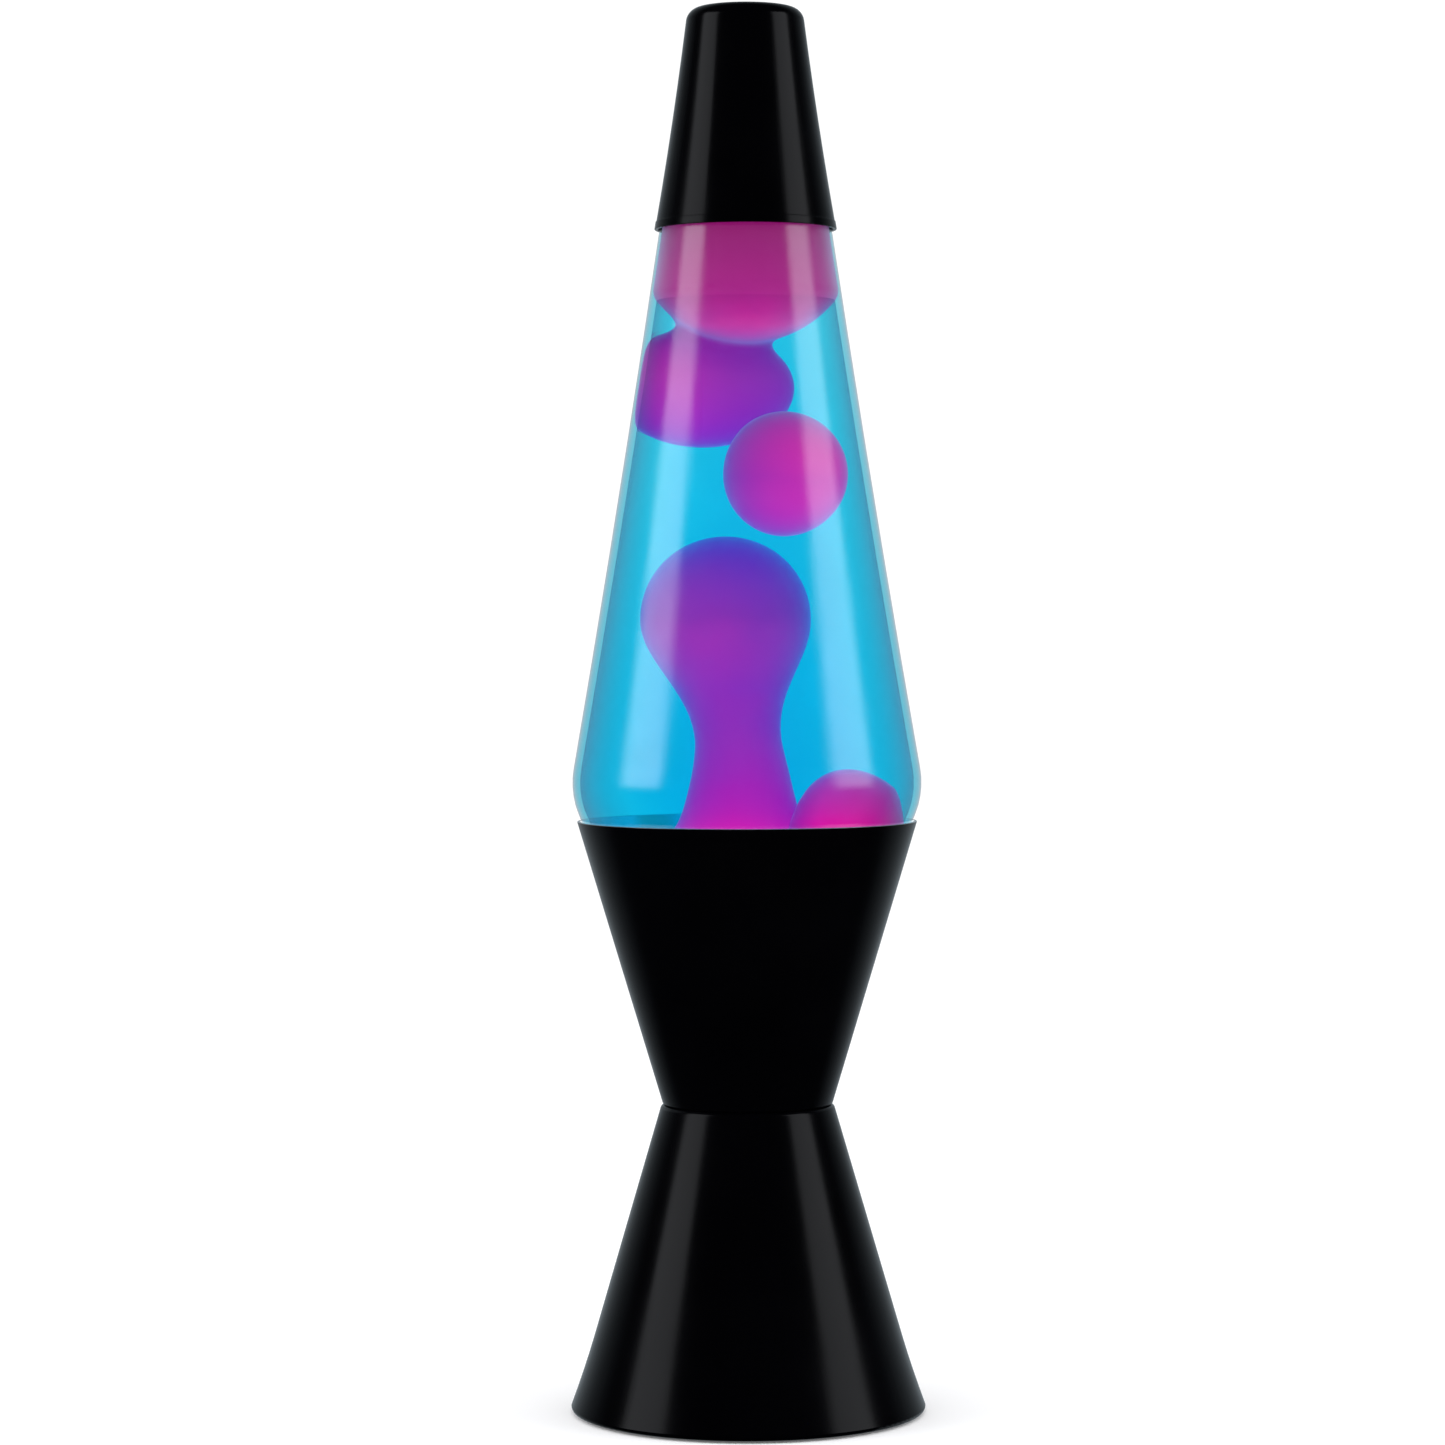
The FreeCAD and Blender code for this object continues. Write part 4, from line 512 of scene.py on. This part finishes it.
def clear_glass(name, gloss, tint=(1.0, 1.0, 1.0), edge_tint=(0.9, 0.94, 0.95)):
    """Clear glass: see-through face on, deeper in tint where it is seen edge on, and mirror-like towards
    its edges by the usual fifth-power rule. Only the side of a wall that faces the light is glossy."""
    glass = Finish(name)
    see_through = glass.node("ShaderNodeBsdfTransparent")
    shine = glass.node("ShaderNodeBsdfGlossy", distribution="BECKMANN")
    shine.inputs["Color"].default_value = (1, 1, 1, 1)
    ripple = glass.noise(55, 2)
    glass.link(glass.spread(ripple, 0.3, 0.7, gloss * 0.9, gloss * 1.15), shine.inputs["Roughness"])
    weight = glass.node("ShaderNodeLayerWeight")
    weight.inputs["Blend"].default_value = 0.5
    turned_away = weight.outputs["Facing"]
    edge = glass.spread(turned_away, 0.3, 0.8)
    glass.link(glass.blend(edge, tint, edge_tint), see_through.inputs["Color"])
    front = glass.spread(glass.node("ShaderNodeNewGeometry").outputs["Backfacing"], 0.0, 1.0, 1.0, 0.0)
    fifth = glass.worked_out("POWER", turned_away, 5.0)
    share = glass.worked_out("MULTIPLY", glass.spread(fifth, 0.0, 1.0, 0.055, 0.9), front)
    mix = glass.node("ShaderNodeMixShader")
    glass.link(share, mix.inputs[0])
    glass.link(see_through.outputs[0], mix.inputs[1])
    glass.link(shine.outputs[0], mix.inputs[2])
    glass.link(mix.outputs[0], glass.tree.nodes["Material Output"].inputs["Surface"])
    glass.tree.nodes.remove(glass.shader)
    return glass.material


def dyed_liquid():
    """Blue liquid: clear, and it drinks red light quickly, green slowly and blue hardly at all."""
    liquid = Finish("blue_liquid")
    liquid.plain(Base_Color=(1, 1, 1, 1), Transmission_Weight=1.0, IOR=1.0, Roughness=0.0)
    drink = liquid.node("ShaderNodeVolumeAbsorption")
    drink.inputs["Color"].default_value = (0.0, 0.90, 0.986, 1)
    drink.inputs["Density"].default_value = 76.0
    liquid.link(drink.outputs[0], liquid.tree.nodes["Material Output"].inputs["Volume"])
    return liquid.material


def glowing_wax(name, stops, low, high, near_glass=None):
    """Warm wax with a painted glow that stands in for the bulb's light from below: the glow goes through
    the given colours from low to high, clouded a little, with a soft waxy surface and a few pale specks.
    Where it lies near the glass, less liquid hides it, and the painted glow is dimmed there as painted
    shade: near_glass is the radius where that starts, where it ends, and the share left."""
    wax = Finish(name)
    cloud = wax.noise(48, 3)
    drift = 0.16 * (high - low)     # the cloud shifts the colours up and down by half of this
    height = wax.worked_out("MULTIPLY_ADD", cloud, drift, wax.axis("Z"))
    share = wax.spread(height, low + drift / 2, high + drift / 2)
    # painted glow: the wax's colours are drawn as emission, standing in for the bulb's light through the
    # wax
    colour = wax.ramp(share, [(place, tuple(part / PAINTED_GLOW for part in shade)) for place, shade in stops])
    if near_glass:
        # painted shade: the glow is dimmed where the wax lies near the glass
        start, end, dimmed = near_glass
        outer = wax.spread(wax.out_from_axis(), start, end)
        colour = wax.blend(outer, colour, wax.blend(1.0, colour, dimmed, "MULTIPLY"))
    specks = wax.specks(420, 0.04)
    colour = wax.blend(specks, colour, (0.2, 0.05, 0.12))
    wax.bump(wax.noise(120, 2), 0.1, 0.4 * MM)
    wax.plain(Emission_Strength=PAINTED_GLOW, Specular_IOR_Level=0.15, Sheen_Weight=0.8, Sheen_Roughness=0.45,
              Sheen_Tint=(0.8, 0.68, 1.0, 1))
    body = wax.ramp(cloud, [(0.3, (0.06, 0.002, 0.03)), (0.7, (0.09, 0.004, 0.045))])
    return wax.feed(Base_Color=body, Emission_Color=colour,
                    Roughness=wax.spread(cloud, 0.3, 0.7, 0.42, 0.55))


def hot_filament():
    """The lamp's filament, glowing."""
    hot = Finish("hot_filament")
    coils = hot.noise(2600, 2)
    hot.plain(Emission_Strength=6.0)
    warmth = hot.ramp(coils, [(0.3, (1.0, 0.42, 0.1)), (0.7, (1.0, 0.7, 0.32))])
    return hot.feed(Base_Color=warmth, Emission_Color=warmth)


def wear(node, material):
    """Give a CAD node its finish."""
    mesh = nodes[node].data
    mesh.materials.clear()
    mesh.materials.append(material)


def finish_the_metalwork():
    """Finishes of every CAD node that shows as it is."""
    paint = black_gloss_paint()
    for node in ("foot", "cap"):
        wear(node, paint)
    wear("cup", cup_paint())
    wear("waist_rivets", metal("rivet_aluminium", (0.78, 0.79, 0.8), 0.3))
    wear("socket_bracket", metal("bracket_steel", (0.56, 0.57, 0.6), 0.34, 1, 6, 0.7))
    wear("lampholder", moulded("white_porcelain", (0.8, 0.78, 0.72), (0.86, 0.85, 0.8), 0.16, 80, 0.08))
    wear("threaded_nipple", metal("plated_nipple", (0.7, 0.7, 0.68), 0.28, 1, 20))
    wear("nipple_nut", metal("plated_nut", (0.7, 0.69, 0.62), 0.3))
    wear("lock_washer", metal("spring_washer", (0.5, 0.5, 0.52), 0.36))
    wear("screw_shell", metal("socket_brass", (0.83, 0.62, 0.27), 0.26, 1, 8))
    wear("centre_contact", metal("contact_brass", (0.86, 0.66, 0.3), 0.3, 8, 1))
    wear("terminal_screws", metal("terminal_brass", (0.8, 0.6, 0.28), 0.3))
    wear("cord_grommet", moulded("grommet_rubber", (0.012, 0.012, 0.013), (0.028, 0.028, 0.03), 0.62))
    wear("bottom_cover",
         moulded("cover_plastic", (0.014, 0.014, 0.015), (0.024, 0.024, 0.026), 0.48, 420, 0.4))
    wear("cover_screws", metal("screw_steel", (0.62, 0.62, 0.63), 0.32))
    wear("rubber_feet", moulded("foot_rubber", (0.016, 0.016, 0.017), (0.034, 0.034, 0.036), 0.7))
    wear("bulb_screw_cap", metal("bulb_cap_brass", (0.8, 0.66, 0.38), 0.24, 1, 10))
    wear("bulb_insulator", moulded("black_glass", (0.006, 0.005, 0.008), (0.014, 0.012, 0.016), 0.12))
    wear("bulb_tip", metal("solder", (0.66, 0.67, 0.68), 0.4))
    wear("bulb_glass", clear_glass("bulb_glass_clear", 0.02))
    wear("bulb_stem", clear_glass("stem_glass", 0.03, (0.92, 0.96, 0.95)))
    wear("bulb_lead_wires", metal("nickel_wire", (0.66, 0.64, 0.6), 0.25))
    wear("bulb_filament", hot_filament())
    wear("crown_liner", moulded("liner_plastic", (0.62, 0.6, 0.54), (0.7, 0.69, 0.64), 0.5))
    wear("crown_closure", metal("tinplate", (0.72, 0.7, 0.64), 0.26))


def fill_the_globe():
    """The globe's glass, and the liquid, the wax and the coil in it."""
    globe_shell(clear_glass("globe_clear_glass", 0.21, (0.93, 0.948, 0.957), (0.68, 0.77, 0.83)))
    liquid_body(dyed_liquid())
    spring_in_globe(metal("coil_steel", (0.62, 0.62, 0.64), 0.3))
    # The wax's glow colours are painted light: brighter lower down, nearer the bulb, in the column, the
    # ball and the crown, darker up under the cap as painted shade, and dimmer low in the pool inside the
    # cup.
    column_of_wax(glowing_wax("column_wax", [(0.0, (6.9, 0.01, 0.5)), (0.17, (6.3, 0.015, 0.52)),
                                            (0.34, (4.7, 0.03, 0.53)), (0.52, (2.6, 0.03, 0.54)),
                                            (0.76, (1.1, 0.025, 0.46)), (1.0, (0.72, 0.03, 0.54))],
                              150 * MM, 226 * MM))
    pool_of_wax(glowing_wax("pool_wax", [(0.0, (1.5, 0.0, 0.3)), (0.15, (1.8, 0.0, 0.32)),
                                         (0.4, (4.4, 0.0, 0.4)), (0.7, (3.8, 0.03, 0.44)),
                                         (1.0, (3.2, 0.06, 0.5))], 146 * MM, 168 * MM,
                            (25 * MM, 41 * MM, (0.17, 0.8, 0.75))))
    crown_of_wax(glowing_wax("crown_wax", [(0.0, (4.1, 0.03, 0.64)), (0.3, (3.1, 0.03, 0.46)),
                                           (0.42, (2.4, 0.02, 0.4)), (0.5, (1.8, 0.01, 0.33)),
                                           (0.56, (1.3, 0.0, 0.28)), (0.66, (0.95, 0.0, 0.21)),
                                           (0.85, (0.56, 0.0, 0.15)), (1.0, (0.36, 0.0, 0.1))],
                             254 * MM, 312 * MM, (15 * MM, 28 * MM, (0.13, 1.0, 0.92))))
    ball_of_wax(glowing_wax("ball_wax", [(0.0, (1.8, 0.03, 0.58)), (0.45, (0.95, 0.015, 0.45)),
                                         (1.0, (0.95, 0.02, 0.33))], 229 * MM, 262 * MM))


# ---------------------------------------------------------------- studio

def white_sweep():
    """A white world all round. Mirrored, except through glass or liquid, it is pale blue, dark in front and
    brighter towards the back."""
    world = bpy.data.worlds.new("white_sweep")
    bpy.context.scene.world = world
    world.use_nodes = True
    tree = world.node_tree
    white = tree.nodes["Background"]
    white.inputs["Color"].default_value = (1, 1, 1, 1)
    white.inputs["Strength"].default_value = 1.06
    mirrored = tree.nodes.new("ShaderNodeBackground")
    mirrored.inputs["Color"].default_value = (0.8, 0.92, 1.0, 1)
    way = tree.nodes.new("ShaderNodeTexCoord")
    split = tree.nodes.new("ShaderNodeSeparateXYZ")
    behind = tree.nodes.new("ShaderNodeMapRange")
    ends = {"From Min": 0.3, "From Max": 1.0, "To Min": 0.01, "To Max": 0.5}
    for socket, setting in ends.items():
        behind.inputs[socket].default_value = setting
    ray = tree.nodes.new("ShaderNodeLightPath")
    bounced = tree.nodes.new("ShaderNodeMath")
    bounced.operation = "SUBTRACT"
    bounced.use_clamp = True
    choose = tree.nodes.new("ShaderNodeMixShader")
    for start, end in ((way.outputs["Generated"], split.inputs[0]),
                       (split.outputs["Y"], behind.inputs["Value"]),
                       (behind.outputs["Result"], mirrored.inputs["Strength"]),
                       (ray.outputs["Is Glossy Ray"], bounced.inputs[0]),
                       (ray.outputs["Is Transmission Ray"], bounced.inputs[1]),
                       (bounced.outputs[0], choose.inputs[0]),
                       (white.outputs[0], choose.inputs[1]),
                       (mirrored.outputs[0], choose.inputs[2]),
                       (choose.outputs[0], tree.nodes["World Output"].inputs["Surface"])):
        tree.links.new(start, end)


def softboxes():
    """Two tall soft lights at the sides. The camera doesn't see them, nor do rays through the liquid."""
    away, height = 1.25, 0.62
    round_from_front = math.radians(74)
    aim = Vector((0, 0, 0.3))
    for name, side, power in (("left_softbox", -1, 6.6), ("right_softbox", 1, 6.2)):
        lamp = bpy.data.lights.new(name, "AREA")
        lamp.shape = "RECTANGLE"
        lamp.size, lamp.size_y = 0.72, 1.0
        lamp.energy = power
        lamp.color = (0.93, 0.95, 1.0)
        light = bpy.data.objects.new(name, lamp)
        light.location = (side * away * math.sin(round_from_front),
                          -away * math.cos(round_from_front), height)
        light.rotation_euler = (aim - light.location).to_track_quat("-Z", "Y").to_euler()
        light.visible_camera = light.visible_transmission = False
        bpy.context.scene.collection.objects.link(light)


def white_floor():
    """The floor: a pale square that the lamp's gloss doesn't mirror."""
    half = 3.0
    mesh = bpy.data.meshes.new("floor")
    mesh.from_pydata([(-half, -half, 0), (half, -half, 0), (half, half, 0), (-half, half, 0)], [],
                     [(0, 1, 2, 3)])
    pale = bpy.data.materials.new("pale_floor")
    pale.use_nodes = True
    surface = pale.node_tree.nodes["Principled BSDF"]
    for socket, setting in (("Base Color", (0.93, 0.93, 0.94, 1)), ("Roughness", 0.9),
                            ("Specular IOR Level", 0.1), ("Emission Color", (1, 1, 1, 1)),
                            ("Emission Strength", 0.1)):
        surface.inputs[socket].default_value = setting
    mesh.materials.append(pale)
    floor = bpy.data.objects.new("floor", mesh)
    floor.visible_glossy = False
    bpy.context.scene.collection.objects.link(floor)


def camera():
    """Straight on to the front, level with the lower part of the globe, through a long lens."""
    lens = bpy.data.cameras.new("camera")
    lens.lens, lens.sensor_width = 107.6, 36.0
    lens.shift_y = -0.0758
    view = bpy.data.objects.new("camera", lens)
    view.location = (-6.3 * MM, -1.133, 0.2092)
    view.rotation_euler = (math.radians(90), math.radians(0.14), 0)
    bpy.context.scene.collection.objects.link(view)
    bpy.context.scene.camera = view


bpy.context.scene.view_settings.view_transform = "Standard"
finish_the_metalwork()
fill_the_globe()
white_sweep()
softboxes()
white_floor()
camera()
